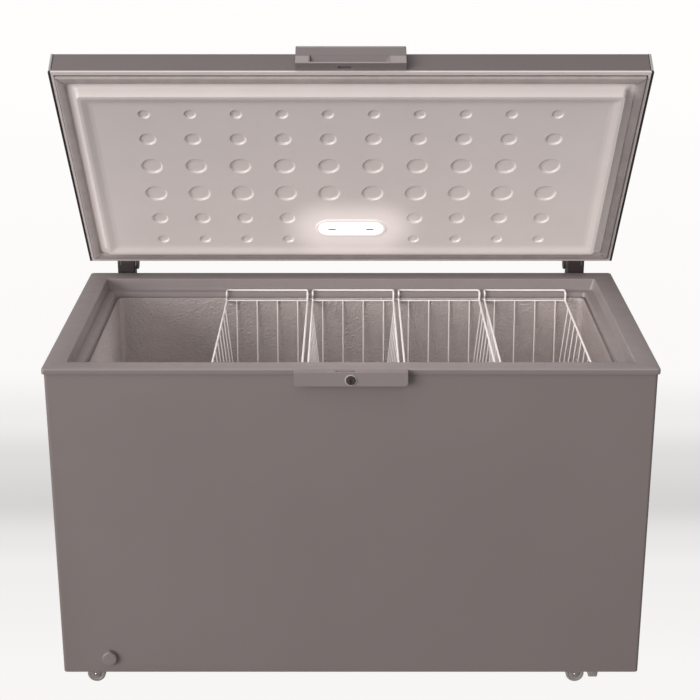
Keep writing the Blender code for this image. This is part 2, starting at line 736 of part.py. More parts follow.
def add_lid_foam(make):
    g = GAP
    low = LID_Z - PANEL_DROP
    field = low + DISH
    t = 0.002 + g
    foam = loft(
        [
            panel_loop(0.033, field + t, 0.012),
            panel_loop(0.024, field + t - DISH_EASE, 0.014),
            panel_loop(0.0085, low + t),
            panel_loop(0.0027, low + t),
            panel_loop(-0.0035, LID_Z - 0.003),
            panel_loop(-0.0110, LID_Z + t),
            rim_loop(SHEET + g, LID_Z + t, CORNER_R - SHEET),
            rim_loop(SHEET + g, LID_TOP - 0.0065, CORNER_R - SHEET),
            rim_loop(0.0070, LID_TOP - SHEET - g, 0.003),
        ]
    )
    slot = pill(0, PIVOT_Y - LAMP_S, LAMP_HALF, LAMP_R)
    pocket = prism(slot, "Z", low - 0.02, field + 0.0096 + g)
    make.add_lid("lid_foam", cut(foam, pocket), "foam")


def add_gasket(make):
    high, low = LID_Z - GAP, LID_Z - 0.0075
    make.add_lid(
        "lid_gasket",
        loft(
            [
                rim_loop(0.0125, high, 0.004),
                rim_loop(0.0125, high - 0.0025, 0.004),
                rim_loop(0.0155, low, 0.005),
                rim_loop(0.0300, low, 0.010),
                rim_loop(0.0345, high - 0.0025, 0.012),
                rim_loop(0.0345, high, 0.012),
            ],
            cyclic=True,
        ),
        "seal_rubber",
    )


def add_lamp(make):
    field = LID_Z - PANEL_DROP + DISH
    y = PIVOT_Y - LAMP_S
    ring = prism(pill(0, y, LAMP_HALF, LAMP_R), "Z", field - 0.0026, field - GAP)
    hole = prism(pill(0, y, LAMP_HALF - 0.0075, LAMP_R - 0.0075), "Z", field - 0.01, field + 0.01)
    make.add_lid("lamp_bezel", cut(ring, hole), "lid_plastic")
    lens = prism(pill(0, y, LAMP_HALF - 0.0080, LAMP_R - 0.0080), "Z", field - 0.0036, field + 0.0022)
    make.add_lid("lamp_lens", lens, "lamp_lens")
    board = box((-0.070, 0.070), (y - 0.012, y + 0.012), (field + 0.0080, field + 0.0096))
    chips = bmesh.new()
    for k in range(6):
        at = -0.055 + 0.022 * k
        half = 0.0025
        add_box(chips, (at - half, at + half), (y - half, y + half), (field + 0.0070, field + 0.0082))
    make.add_lid("led_board", joined(board, chips), "board")


def add_handle(make):
    front, back = RIM_FRONT - HANDLE_OUT, RIM_FRONT - GAP
    low, high = LID_Z + 0.0045, LID_TOP - 0.001
    outline = [(back, low), (front + 0.002, low), (front, low + 0.002)]
    outline += [(front, high - 0.002), (front + 0.0015, high), (back, high)]
    body = prism(outline, "X", -PLATE_HALF, PLATE_HALF)
    hollow = [(front - 0.01, low + 0.0055), (front + 0.0080, low + 0.0055)]
    hollow += [(front + 0.0090, low + 0.012), (front, low + 0.031), (front - 0.01, low + 0.031)]
    scoop = prism(hollow, "X", -0.096, 0.096)
    across = (BOLT_X - 0.0170, BOLT_X + 0.0170)
    keeper = box(across, (BOLT_Y - 0.0035, BOLT_Y + 0.0035), (low - 0.01, low + 0.0215))
    make.add_lid("lid_handle", cut(body, scoop, keeper), "rim_plastic")


# Hinges


def hinge_cover_outline(inside):
    """(y, z) of the cover that is screwed to the back, moved in by a wall's thickness for its hollow."""
    r = 0.020 - inside
    angles = [pi - pi * i / 8 for i in range(9)]
    arc = [(PIVOT_Y + r * cos(a), PIVOT_Z + r * sin(a)) for a in angles]
    wall = RIM_REAR - CABINET_INSET + 0.0025
    low = 0.690 - 10 * inside
    lower = [(PIVOT_Y + r, 0.750), (PIVOT_Y - 0.004 - inside, low), (wall + inside, low)]
    return arc + lower + [(wall + inside, 0.818), (PIVOT_Y - r, 0.826)]


def add_hinge(make, side, sign):
    x = sign * HINGE_X
    inner, outer = x - sign * HINGE_HALF, x + sign * HINGE_HALF
    cheek_end = inner + sign * 0.0075
    lo, hi = sorted((cheek_end + sign * 0.0006, outer))
    cover = prism(hinge_cover_outline(0), "X", lo, hi)
    hollow = prism(hinge_cover_outline(0.002), "X", lo + 0.002, hi - 0.002)
    pin_hole = cylinder("X", PIVOT_Y, PIVOT_Z, 0.0045, lo - 0.01, hi + 0.01, 12)
    make.add(f"hinge_cover_{side}", cut(cover, hollow, pin_hole), "dark_plastic")

    y0 = RIM_REAR - CABINET_INSET + GAP
    bracket = box((x - 0.040, x + 0.040), (y0, y0 + 0.0018), (0.640, 0.822))
    make.add(f"hinge_bracket_{side}", bracket, "steel")

    pin_lo, pin_hi = sorted((inner - sign * 0.0012, outer + sign * 0.0012))
    pin = cylinder("X", PIVOT_Y, PIVOT_Z, 0.0040, pin_lo, pin_hi, 12)
    make.add(f"hinge_pin_{side}", pin, "steel", (x, PIVOT_Y, PIVOT_Z))

    face = RIM_REAR + GAP
    lo, hi = sorted((inner, outer))
    leaf = box((lo, hi), (face, face + 0.0022), (LID_Z + 0.004, LID_TOP - 0.008))
    around = [(-0.004, -0.010), (0.004, -0.010), (0.010, -0.004)]
    around += [(0.010, 0.004), (0.004, 0.010), (-0.006, 0.013)]
    edge = [(face + 0.001, LID_Z + 0.008)]
    edge += [(PIVOT_Y + back, PIVOT_Z + up) for back, up in around]
    edge += [(face + 0.001, LID_TOP - 0.012)]
    lo, hi = sorted((inner, cheek_end))
    cheek = prism(edge, "X", lo, hi)
    eye = cylinder("X", PIVOT_Y, PIVOT_Z, 0.0045, lo - 0.01, hi + 0.01, 12)
    make.add_lid(f"hinge_arm_{side}", cut(joined(leaf, cheek), eye), "dark_plastic")

    spring = bmesh.new()
    turns, per_turn = 5, 8
    steps = turns * per_turn
    points = []
    for i in range(steps + 1):
        a = 2 * pi * i / per_turn
        points.append((x + 0.009 * cos(a), PIVOT_Y + 0.002 + 0.009 * sin(a), 0.760 + 0.080 * i / steps))
    add_tube(spring, points, 0.0016, 4)
    make.add(f"hinge_spring_{side}", spring, "steel")


def build():
    clear_scene()
    make_materials()
    home = collection("chest_freezer", bpy.context.scene.collection)
    make = Maker(home)
    add_cabinet(make)
    add_collar(make)
    add_liner(make)
    add_foam(make)
    add_bay(make)
    add_side_grille(make)
    add_rear(make)
    add_drain(make)
    add_castors(make)
    add_lock(make)
    for number, x in enumerate(BASKET_X, 1):
        add_basket(make, number, x)
    add_lid_shell(make)
    add_lid_panel(make)
    add_lid_foam(make)
    add_gasket(make)
    add_lamp(make)
    add_handle(make)
    add_hinge(make, "left", -1)
    add_hinge(make, "right", 1)


build()
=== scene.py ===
"""The looks of a chest freezer with its lid held open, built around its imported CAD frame.

Metres, +Z up, floor at z = 0, front towards -Y. The lid's pieces are drawn closed, then turned open about the
hinge line.
"""

import json
from math import atan2, cos, pi, radians, sin

import bmesh
import bpy
from mathutils import Matrix, Vector

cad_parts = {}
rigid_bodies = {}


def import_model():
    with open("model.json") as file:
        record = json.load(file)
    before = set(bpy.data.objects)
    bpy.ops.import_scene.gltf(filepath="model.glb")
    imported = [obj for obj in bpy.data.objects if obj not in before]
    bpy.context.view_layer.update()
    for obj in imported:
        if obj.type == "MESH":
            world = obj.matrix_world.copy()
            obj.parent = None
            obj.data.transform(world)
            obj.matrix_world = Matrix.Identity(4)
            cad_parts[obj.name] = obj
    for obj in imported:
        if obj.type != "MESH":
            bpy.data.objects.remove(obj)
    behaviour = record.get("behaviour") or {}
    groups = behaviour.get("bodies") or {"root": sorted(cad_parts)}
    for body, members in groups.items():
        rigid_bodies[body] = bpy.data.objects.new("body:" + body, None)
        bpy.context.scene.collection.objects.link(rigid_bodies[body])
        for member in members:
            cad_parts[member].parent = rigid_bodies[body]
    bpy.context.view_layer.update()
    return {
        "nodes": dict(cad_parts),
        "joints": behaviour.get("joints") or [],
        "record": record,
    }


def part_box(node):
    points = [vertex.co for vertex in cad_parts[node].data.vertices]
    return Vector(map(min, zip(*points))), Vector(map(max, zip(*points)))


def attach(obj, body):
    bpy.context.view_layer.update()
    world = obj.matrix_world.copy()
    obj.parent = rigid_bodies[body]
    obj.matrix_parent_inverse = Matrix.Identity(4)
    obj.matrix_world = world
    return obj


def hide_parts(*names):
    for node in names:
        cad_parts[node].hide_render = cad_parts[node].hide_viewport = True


for leftover in list(bpy.data.objects):
    bpy.data.objects.remove(leftover, do_unlink=True)

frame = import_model()

BODY_OF = {node: body for body, members in frame["record"]["behaviour"]["bodies"].items() for node in members}
SLOT_OF = {entry["node"]: entry["material_slot"] for entry in frame["record"]["subparts"]}

# Sizes that the frame gives
collar_low, collar_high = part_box("rim_collar")
shell_low, shell_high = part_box("outer_shell")
liner_low, liner_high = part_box("inner_liner")
RIM_X = collar_high.x
RIM_FRONT = collar_low.y
RIM_REAR = collar_high.y
RIM_TOP = collar_high.z
COLLAR_Z = collar_low.z
CABINET_Z = shell_low.z
CABINET_INSET = RIM_X - shell_high.x
LINER_FLOOR = liner_low.z
LID_JOINT = next(joint for joint in frame["joints"] if joint["name"] == "lid_hinge")
PIVOT = Vector(LID_JOINT["pos_m"])
OPEN_ANGLE = -radians(LID_JOINT["range_deg"][0])
OPENED = Matrix.Translation(PIVOT) @ Matrix.Rotation(-OPEN_ANGLE, 4, "X") @ Matrix.Translation(-PIVOT)

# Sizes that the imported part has, and its frame doesn't give
RIM_LIP = 0.013
SHEET = 0.001
CORNER_R = 0.008
OPEN_X = RIM_X - 0.0515
OPEN_FRONT = RIM_FRONT + 0.047
OPEN_REAR = RIM_REAR - 0.054
OPEN_R = 0.018
LEDGE_R = 0.011
LEDGE_IN = 0.025
LINER_IN = 0.033
TANK_FRONT = OPEN_FRONT + LINER_IN
TANK_REAR = OPEN_REAR - LINER_IN
STEP_X = 0.368
STEP_TOP = 0.362
LID_Z = RIM_TOP + 0.008
LID_TOP = LID_Z + 0.062
LID_LIP = 0.011
PANEL_X = 0.643
PANEL_FRONT = PIVOT.y - 0.686
PANEL_REAR = PIVOT.y - 0.086
PANEL_LOW = LID_Z - 0.0275
PANEL_WALL = 0.0018
FIELD_Z = LID_Z - 0.022
LAMP_Y = PIVOT.y - 0.192
LAMP_HALF = 0.092
LAMP_R = 0.034
PLATE_HALF = 0.129
HANDLE_OUT = 0.024
KEY_Z = RIM_TOP - 0.0185
DRAIN_X, DRAIN_Z = -0.584, 0.0913
PLUG_X, PLUG_Y = -0.55, RIM_FRONT + 0.115
MAINS_X, MAINS_Z = 0.56, 0.11
BAY_X, BAY_TOP = 0.43, 0.3
OPENING_STEPS = 10
SIDES = ((-1, "left"), (1, "right"))

# Camera
CAMERA_BACK, CAMERA_UP = 3.203, 1.26
CAMERA_DIP = 18.86
CAMERA_LENS = 78.18
CAMERA_SHIFT = (-0.0013, -0.0714)

# Light
KEY_FROM = (-0.69, -0.7, 0.11)
KEY_POWER = 3.1
KEY_SIZE = 40
STUDIO_FROM = (-0.55, -0.25, 0.8)
STUDIO_LOW, STUDIO_HIGH = 0.12, 1.22
TANK_POWER = 0.95
BAY_POWER = 0.24
FLOOR_HALF = 40
FLOOR_GLOW = 0.32
FLOOR_NEAR, FLOOR_FAR = -1.0, 7.0
# Floor seen by the camera: white, with a darker band behind the freezer as painted shade of the studio's
# horizon
FLOOR_TONES_AND_PAINTED_SHADE = ((0.00, 0.955), (0.08, 0.935), (0.155, 0.875), (0.175, 0.81), (0.205, 0.67), (0.245, 0.73),
               (0.286, 0.86), (0.35, 0.965), (0.7, 0.985), (1.0, 1.0))
# Painted light: emission on the lid's inner sheet, a glow round the lamp and a glow rising towards the hinge
LAMP_PAINTED_GLOW = 0.26
PAINTED_GLOW_REACH = 0.135
HINGE_PAINTED_GLOW = 0.15

# Shading and curves
SHARP_ANGLE = 32
FRAME_SHARP_ANGLE = 30
NOISE_RANGE = (0.3, 0.7)
CORNER_SHARE = 0.49
SLOT_SHARE = 0.75


# Outlines


def arc(u, v, r, start, end, steps):
    """2-D points of an arc, with angles in degrees."""
    angles = [radians(start + (end - start) * i / steps) for i in range(steps + 1)]
    return [(u + r * cos(a), v + r * sin(a)) for a in angles]


def rounded(u0, u1, v0, v1, r, steps=6):
    """2-D points of a rectangle with round corners, anticlockwise."""
    points = arc(u1 - r, v1 - r, r, 0, 90, steps)
    points += arc(u0 + r, v1 - r, r, 90, 180, steps)
    points += arc(u0 + r, v0 + r, r, 180, 270, steps)
    return points + arc(u1 - r, v0 + r, r, 270, 360, steps)


def circle(u, v, r, sides=32):
    return [(u + r * cos(2 * pi * i / sides), v + r * sin(2 * pi * i / sides)) for i in range(sides)]


def pill(u, v, half, r, steps=16):
    return arc(u + half - r, v, r, -90, 90, steps) + arc(u - half + r, v, r, 90, 270, steps)


def softened(points, radii, steps=4):
    """An open line with each inner corner turned into a curve that starts a radius before it."""
    line = [points[0]]
    for before, corner, after, r in zip(points, points[1:], points[2:], radii):
        here = Vector(corner)
        back, on = Vector(before) - here, Vector(after) - here
        start = here + back.normalized() * min(r, back.length * CORNER_SHARE)
        end = here + on.normalized() * min(r, on.length * CORNER_SHARE)
        for i in range(steps + 1):
            t = i / steps
            line.append(start * (1 - t) ** 2 + here * 2 * t * (1 - t) + end * t ** 2)
    line.append(points[-1])
    return line


def bent(points, r, steps=5):
    """A line in space with each corner softened alike."""
    return softened([Vector(p) for p in points], [r] * (len(points) - 2), steps)


def mirrored(profile):
    """A turned profile carried on by its mirror image, with the distances the other way."""
    return [*profile, *[(r, -along) for r, along in reversed(profile)]]


def rounding(r, angles=(0, 22.5, 45, 67.5, 90)):
    """Where a rounded edge lies at each angle: inwards and upwards from the sharp one."""
    return [(r - r * cos(radians(a)), r * sin(radians(a)) - r) for a in angles]


def at_height(points, z):
    return [(u, v, z) for u, v in points]


def rim_loop(by, z, r=CORNER_R, steps=6):
    return at_height(rounded(by - RIM_X, RIM_X - by, RIM_FRONT + by, RIM_REAR - by, r, steps), z)


def opening_loop(by, z, r=OPEN_R, steps=10):
    return at_height(rounded(by - OPEN_X, OPEN_X - by, OPEN_FRONT + by, OPEN_REAR - by, r, steps), z)


def panel_loop(by, z, steps=8):
    r = 0.01 - 0.12 * by
    return at_height(rounded(by - PANEL_X, PANEL_X - by, PANEL_FRONT + by, PANEL_REAR - by, r, steps), z)


# Meshes


def add_loft(bm, loops, cyclic=False, capped=True):
    """Skins loops of equally many points, and gives their rings of vertices."""
    rings = [[bm.verts.new(p) for p in loop] for loop in loops]
    following = rings[1:] + rings[:1] if cyclic else rings[1:]
    for ring, after in zip(rings, following):
        for i in range(len(ring)):
            j = (i + 1) % len(ring)
            bm.faces.new((ring[i], ring[j], after[j], after[i]))
    if capped and not cyclic:
        bm.faces.new(list(reversed(rings[0])))
        bm.faces.new(rings[-1])
    return rings


def loft(loops, cyclic=False):
    bm = bmesh.new()
    add_loft(bm, loops, cyclic)
    return bm


def add_prism(bm, outline, axis, low, high):
    """An outline carried along an axis: (y, z) for X, (x, z) for Y, (x, y) for Z."""

    def placed(p, along):
        point = list(p)
        point.insert("XYZ".index(axis), along)
        return point

    add_loft(bm, [[placed(p, low) for p in outline], [placed(p, high) for p in outline]])


def prism(outline, axis, low, high):
    bm = bmesh.new()
    add_prism(bm, outline, axis, low, high)
    return bm


def box(x, y, z):
    return prism(((x[0], y[0]), (x[1], y[0]), (x[1], y[1]), (x[0], y[1])), "Z", z[0], z[1])


def around(middle, half):
    return middle - half, middle + half


def add_turned(bm, profile, centre, axis, sides=32):
    """A closed solid of revolution: profile holds (radius, distance along the axis) from end to end."""
    way = Vector(axis).normalized()
    across = way.orthogonal().normalized()
    up = way.cross(across)
    loops = []
    for r, along in profile:
        ring = [across * (r * u) + up * (r * v) for u, v in circle(0, 0, 1, sides)]
        loops.append([Vector(centre) + way * along + p for p in ring])
    add_loft(bm, loops)


def turned(profile, centre, axis, sides=32):
    bm = bmesh.new()
    add_turned(bm, profile, centre, axis, sides)
    return bm


def add_tube(bm, points, r, sides=8):
    """A tube through points in space, with each ring square to the way on."""
    points = [Vector(p) for p in points]
    side = None
    loops = []
    for i, point in enumerate(points):
        way = (points[min(i + 1, len(points) - 1)] - points[max(i - 1, 0)]).normalized()
        if side is None:
            side = way.orthogonal().normalized()
        side = (side - side.dot(way) * way).normalized()
        up = way.cross(side)
        loops.append([point + side * u + up * v for u, v in circle(0, 0, r, sides)])
    add_loft(bm, loops)


def add_object(name, data):
    obj = bpy.data.objects.new(name, data)
    bpy.context.scene.collection.objects.link(obj)
    return obj


def new_object(bm, name):
    mesh = bpy.data.meshes.new(name)
    bm.to_mesh(mesh)
    bm.free()
    return add_object(name, mesh)


def plain_object(bm, name):
    bmesh.ops.recalc_face_normals(bm, faces=bm.faces)
    return new_object(bm, name)


def boolean(base, operation, *tools):
    obj = plain_object(base, "base")
    helpers = [plain_object(tool, "tool") for tool in tools]
    for helper in helpers:
        step = obj.modifiers.new("Boolean", "BOOLEAN")
        step.solver = "EXACT"
        step.operation = operation
        step.object = helper
    made = bmesh.new()
    made.from_object(obj, bpy.context.evaluated_depsgraph_get())
    bmesh.ops.remove_doubles(made, verts=made.verts, dist=1e-6)
    for used in [obj, *helpers]:
        bpy.data.objects.remove(used)
    return made


def cut(base, *tools):
    return boolean(base, "DIFFERENCE", *tools)


def joined(base, *tools):
    return boolean(base, "UNION", *tools)


def dress(obj, look, body, replaces=(), smooth=SHARP_ANGLE):
    """Shades an object smooth up to an angle, gives it its look, and lets it ride on its body."""
    obj.data.shade_smooth()
    obj.data.set_sharp_from_angle(angle=radians(smooth))
    obj.data.materials.append(LOOKS[look])
    if body == "lid":
        obj.matrix_world = OPENED
    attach(obj, body)
    if replaces:
        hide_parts(*replaces)


def piece(name, bm, look, body, replaces=(), slot=None, bevel=0.0, smooth=SHARP_ANGLE, segments=2):
    """A finished piece, with its edges rounded by the bevel's width."""
    obj = plain_object(bm, name)
    if bevel:
        edges = obj.modifiers.new("Bevel", "BEVEL")
        edges.width = bevel
        edges.segments = segments
        edges.limit_method = "ANGLE"
        edges.angle_limit = radians(smooth)
        edges.harden_normals = True
    dress(obj, look, body, replaces, smooth)
    return obj


def remake(name, bm, look, node, **shape):
    """A piece in the place of a CAD node, with the node's body."""
    return piece(name, bm, look, BODY_OF[node], (node,), SLOT_OF[node], **shape)


# Materials


def feed(node, **settings):
    """Sets a node's inputs and settings by name, and links an input to the socket that is given for it."""
    for key, value in settings.items():
        socket = node.inputs.get(key.replace("_", " "))
        if socket is None:
            setattr(node, key, value)
        elif isinstance(value, bpy.types.NodeSocket):
            node.id_data.links.new(value, socket)
        else:
            socket.default_value = value
    return node


def add_node(tree, kind, **settings):
    return feed(tree.nodes.new("ShaderNode" + kind), **settings)


def new_material(name, roughness=0.5, metallic=0.0):
    made = bpy.data.materials.new(name)
    made.use_nodes = True
    tree = made.node_tree
    return made, tree, feed(tree.nodes["Principled BSDF"], Roughness=roughness, Metallic=metallic)


def computed(operation, first, second=0.0):
    node = add_node(first.id_data, "Math", operation=operation)
    for socket, value in zip(node.inputs, (first, second)):
        if isinstance(value, float):
            socket.default_value = value
        else:
            node.id_data.links.new(value, socket)
    return node.outputs["Value"]


def object_space(tree):
    return add_node(tree, "TexCoord").outputs["Object"]


def along_axes(tree):
    return add_node(tree, "SeparateXYZ", Vector=object_space(tree)).outputs


def noise(tree, scale, detail=2.0, roughness=0.5, stretch=(1, 1, 1)):
    """A noise factor in the piece's own coordinates."""
    place = add_node(tree, "Mapping", Vector=object_space(tree), Scale=stretch).outputs["Vector"]
    texture = add_node(tree, "TexNoise", Vector=place, Scale=scale, Detail=detail, Roughness=roughness)
    return texture.outputs["Fac"]


def cells(tree, scale, **settings):
    """Distances from the middles of irregular cells, in the piece's own coordinates."""
    texture = add_node(tree, "TexVoronoi", **settings, Vector=object_space(tree), Scale=scale)
    return texture.outputs["Distance"]


def ramp(factor, low, high):
    """Turns a noise factor into a colour between low and high."""
    node = add_node(factor.id_data, "ValToRGB", Fac=factor)
    for element, place, colour in zip(node.color_ramp.elements, NOISE_RANGE, (low, high)):
        element.position = place
        element.color = (*colour, 1)
    return node.outputs["Color"]


def mottled(shader, colour, spread, scale):
    """Lets the base colour wander a little around its mean."""
    low = [c * (1 - spread) for c in colour]
    high = [min(c * (1 + spread), 1) for c in colour]
    feed(shader, Base_Color=ramp(noise(shader.id_data, scale, 4), low, high))


def varied_roughness(shader, roughness, spread, factor):
    feed(shader, Roughness=ramp(factor, (roughness - spread,) * 3, (roughness + spread,) * 3))


def bumped(shader, height, strength, distance):
    bump = add_node(shader.id_data, "Bump", Strength=strength, Distance=distance, Height=height)
    feed(shader, Normal=bump.outputs["Normal"])


def plastic(name, colour, roughness, grain=900, depth=0.00006, spread=0.03):
    """Moulded plastic: a fine spark-eroded grain, and slight shifts of colour and gloss."""
    made, tree, shader = new_material(name)
    mottled(shader, colour, spread, 9)
    varied_roughness(shader, roughness, 0.06, noise(tree, 30, 5))
    bumped(shader, noise(tree, grain, 3), 0.5, depth)
    return made


def paint(name, colour, roughness=0.45):
    """Powder-coated sheet: orange peel, and faint long waves in the sheet."""
    made, tree, shader = new_material(name)
    mottled(shader, colour, 0.02, 3)
    varied_roughness(shader, roughness, 0.05, noise(tree, 14, 5))
    bumped(shader, computed("ADD", noise(tree, 420, 2), noise(tree, 5, 1)), 0.35, 0.00008)
    feed(shader, Coat_Weight=0.06, Coat_Roughness=0.25)
    return made


def embossed_sheet(name, colour, roughness, metallic):
    """Liner sheet rolled with a stucco pattern of small irregular pebbles."""
    made, tree, shader = new_material(name, roughness, metallic)
    mottled(shader, colour, 0.05, 40)
    pebbles = cells(tree, 230.0, feature="SMOOTH_F1", Smoothness=0.4)
    bumped(shader, computed("ADD", pebbles, noise(tree, 120, 4)), 0.7, 0.002)
    varied_roughness(shader, roughness, 0.08, noise(tree, 60, 5))
    return made


def brushed(name, colour, roughness, stretch):
    """Rolled or drawn metal: fine lines that run one way."""
    made, tree, shader = new_material(name, roughness, 1.0)
    mottled(shader, colour, 0.06, 25)
    lines = noise(tree, 90, 3, 0.6, stretch)
    bumped(shader, lines, 0.3, 0.00008)
    varied_roughness(shader, roughness, 0.1, lines)
    return made


def rubbery(name, colour, roughness=0.7):
    made, tree, shader = new_material(name)
    mottled(shader, colour, 0.08, 35)
    varied_roughness(shader, roughness, 0.08, noise(tree, 50, 5))
    bumped(shader, noise(tree, 600, 4), 0.4, 0.0001)
    return made


def foam_material(name, colour):
    made, tree, shader = new_material(name, 0.9)
    mottled(shader, colour, 0.12, 60)
    bumped(shader, cells(tree, 500.0), 0.7, 0.0008)
    return made


def painted_glow_panel(name, colour):
    """The lid's inner sheet: plastic with painted light as emission, a painted pool of lamp light round the
    lamp and a painted glow that rises towards the hinge.
    """
    made = plastic(name, colour, 0.38, 700, 0.00004, 0.02)
    tree = made.node_tree
    axes = along_axes(tree)

    def eased(value, start, end, height):
        node = add_node(tree, "MapRange", interpolation_type="SMOOTHSTEP", Value=value, From_Min=start,
                        From_Max=end, To_Min=0.0, To_Max=height)
        return node.outputs["Result"]

    beyond = computed("SUBTRACT", computed("ABSOLUTE", axes["X"]), LAMP_HALF - LAMP_R)
    beyond = computed("POWER", computed("MAXIMUM", beyond), 2.0)
    beside = computed("SUBTRACT", axes["Y"], LAMP_Y)
    beside = computed("MULTIPLY", beside, beside)
    distance = computed("SQRT", computed("ADD", beyond, beside))
    # Painted light: a pool of glow round the lamp, and a glow that rises towards the hinge
    near = eased(distance, PAINTED_GLOW_REACH, LAMP_R, LAMP_PAINTED_GLOW)
    rise = eased(axes["Y"], PANEL_FRONT - 0.2, PANEL_REAR + 0.15, HINGE_PAINTED_GLOW)
    feed(tree.nodes["Principled BSDF"], Emission_Color=(1.0, 0.9, 0.87, 1),
         Emission_Strength=computed("ADD", near, rise))
    return made


def glowing(name, colour, strength):
    """A frosted lens lit evenly from behind."""
    made, tree, shader = new_material(name, 0.35)
    mottled(shader, colour, 0.02, 50)
    feed(shader, Emission_Color=(1, 0.985, 0.96, 1), Emission_Strength=strength)
    bumped(shader, noise(tree, 700, 2), 0.3, 0.00005)
    return made


RECIPES = {
    "body_paint": (paint, (0.188, 0.155, 0.15)),
    # The lid's sheet is the body's paint made darker: painted shade
    "lid_paint": (paint, (0.138, 0.114, 0.111)),
    "rim_plastic": (plastic, (0.26, 0.222, 0.219), 0.4),
    # Darker rim plastic: painted shade on the collar's outer flange, and a darker plastic on the drain cap
    # and the seal's seams
    "rim_edge": (plastic, (0.202, 0.168, 0.167), 0.42),
    "lock_plastic": (plastic, (0.226, 0.19, 0.189), 0.42),
    "handle_plastic": (plastic, (0.18, 0.154, 0.152), 0.42),
    "liner_sheet": (embossed_sheet, (0.49, 0.43, 0.418), 0.38, 0.25),
    "lid_plastic": (plastic, (0.625, 0.555, 0.54), 0.38, 700, 0.00004, 0.02),
    # The lid's inner sheet and the lamp frame, with painted glow as emission
    "panel_plastic": (painted_glow_panel, (0.64, 0.572, 0.556)),
    "handle_light": (plastic, (0.3, 0.26, 0.255), 0.4),
    "seal_rubber": (rubbery, (0.38, 0.33, 0.32), 0.6),
    "foam": (foam_material, (0.8, 0.66, 0.4)),
    "steel": (brushed, (0.5, 0.49, 0.48), 0.38, (1, 1, 12)),
    "wire_coat": (plastic, (0.93, 0.88, 0.865), 0.34, 500, 0.00005, 0.02),
    "dark_plastic": (plastic, (0.03, 0.021, 0.02), 0.42),
    # Lighter grey on the hinge rib and washer: painted highlights along the hinge's edges
    "hinge_light": (plastic, (0.16, 0.145, 0.14), 0.4),
    "wheel_plastic": (plastic, (0.25, 0.22, 0.21), 0.5),
    "fork_paint": (plastic, (0.2, 0.17, 0.165), 0.45),
    "joint_grey": (rubbery, (0.16, 0.139, 0.136), 0.6),
    "ring_satin": (plastic, (0.4, 0.355, 0.35), 0.3),
    "barrel_satin": (plastic, (0.045, 0.036, 0.035), 0.3),
    "chrome": (brushed, (0.62, 0.58, 0.57), 0.22, (12, 1, 1)),
    "black_paint": (paint, (0.012, 0.011, 0.011), 0.4),
    "copper": (brushed, (0.7, 0.34, 0.2), 0.3, (1, 8, 1)),
    "rubber": (rubbery, (0.022, 0.021, 0.021)),
    "lamp_lens": (glowing, (0.8, 0.79, 0.77), 0.75),
    "board": (plastic, (0.8, 0.83, 0.8), 0.4),
    # Near black: the dark joints, and painted shade on the bead under the lid's end edges
    "edge_dark": (rubbery, (0.016, 0.013, 0.012), 0.55),
    # Light grey: the lid end caps' trim colour, partly a painted reflection, and the handle's painted
    # highlight strip
    "cap_grey": (plastic, (0.33, 0.315, 0.31), 0.4),
    "edge_light": (plastic, (0.66, 0.58, 0.565), 0.35),
}
LOOKS = {name: make(name, *values) for name, (make, *values) in RECIPES.items()}


def dress_frame():
    """Gives every CAD node the look of its material slot."""
    for node, slot in SLOT_OF.items():
        mesh = frame["nodes"][node].data
        mesh.materials.clear()
        mesh.materials.append(LOOKS[slot])
        mesh.shade_smooth()
        mesh.set_sharp_from_angle(angle=radians(FRAME_SHARP_ANGLE))


# Cabinet


def make_shell():
    inset = CABINET_INSET
    top = shell_high.z
    outer = [rim_loop(inset + 0.0009, CABINET_Z), rim_loop(inset + 0.0003, CABINET_Z + 0.0003)]
    outer += [rim_loop(inset, CABINET_Z + 0.001), rim_loop(inset, top)]
    inner_r = CORNER_R - SHEET
    inner = [rim_loop(inset + SHEET, top, inner_r), rim_loop(inset + SHEET, CABINET_Z, inner_r)]
    shell = loft(outer + inner, cyclic=True)
    window = box((0.6, 0.75), (-0.185, 0.145), (0.092, 0.268))
    drain_hole = prism(circle(DRAIN_X, DRAIN_Z, 0.0125), "Y", RIM_FRONT - 0.02, RIM_FRONT + 0.02)
    mains_hole = prism(circle(MAINS_X, MAINS_Z, 0.0105), "Y", RIM_REAR - 0.02, RIM_REAR + 0.02)
    body = cut(shell, window, drain_hole, mains_hole)
    remake("cabinet_shell", body, "body_paint", "outer_shell", smooth=40)


def make_collar():
    lip = RIM_TOP - RIM_LIP
    steps = OPENING_STEPS
    edge = ((0.0008, 0.0), (0.0002, 0.0003), (0.0, 0.001))
    loops = [rim_loop(by, lip + up, steps=steps) for by, up in edge]
    loops += [rim_loop(by, RIM_TOP + down, steps=steps) for by, down in rounding(0.003)]
    for by, down in reversed(rounding(0.0022)):
        loops.append(opening_loop(-by, RIM_TOP + down, 0.0055 - by / 2.2))
    foot = COLLAR_Z - RIM_TOP
    corners = ((0.001, -0.01, 0.007), (0.0024, -0.019, 0.009), (0.0036, -0.0278, LEDGE_R),
               (0.0044, -0.0294, LEDGE_R), (0.006, -0.03, LEDGE_R), (LEDGE_IN - 0.0015, -0.03, LEDGE_R),
               (LEDGE_IN - 0.0004, -0.0304, LEDGE_R), (LEDGE_IN, -0.0315, LEDGE_R),
               (LEDGE_IN + 0.002, foot, LEDGE_R), (0.0005, foot, 0.008), (0.0005, -RIM_LIP, 0.008),
               (-0.0098, -RIM_LIP, 0.008))
    loops += [opening_loop(by, RIM_TOP + down, r) for by, down, r in corners]
    collar = remake("rim_collar_top", loft(loops, cyclic=True), "rim_plastic", "rim_collar", smooth=40)
    # The outer flange faces take a darker copy of the rim plastic as painted shade
    collar.data.materials.append(LOOKS["rim_edge"])
    for face in collar.data.polygons:
        x, y = face.center.xy
        out = min(RIM_X - abs(x), y - RIM_FRONT, RIM_REAR - y)
        if out < 0.0006 and face.normal.z < 0.5:
            face.material_index = 1


def liner_loop(by, z, r=OPEN_R):
    return opening_loop(LINER_IN + by, z, r)


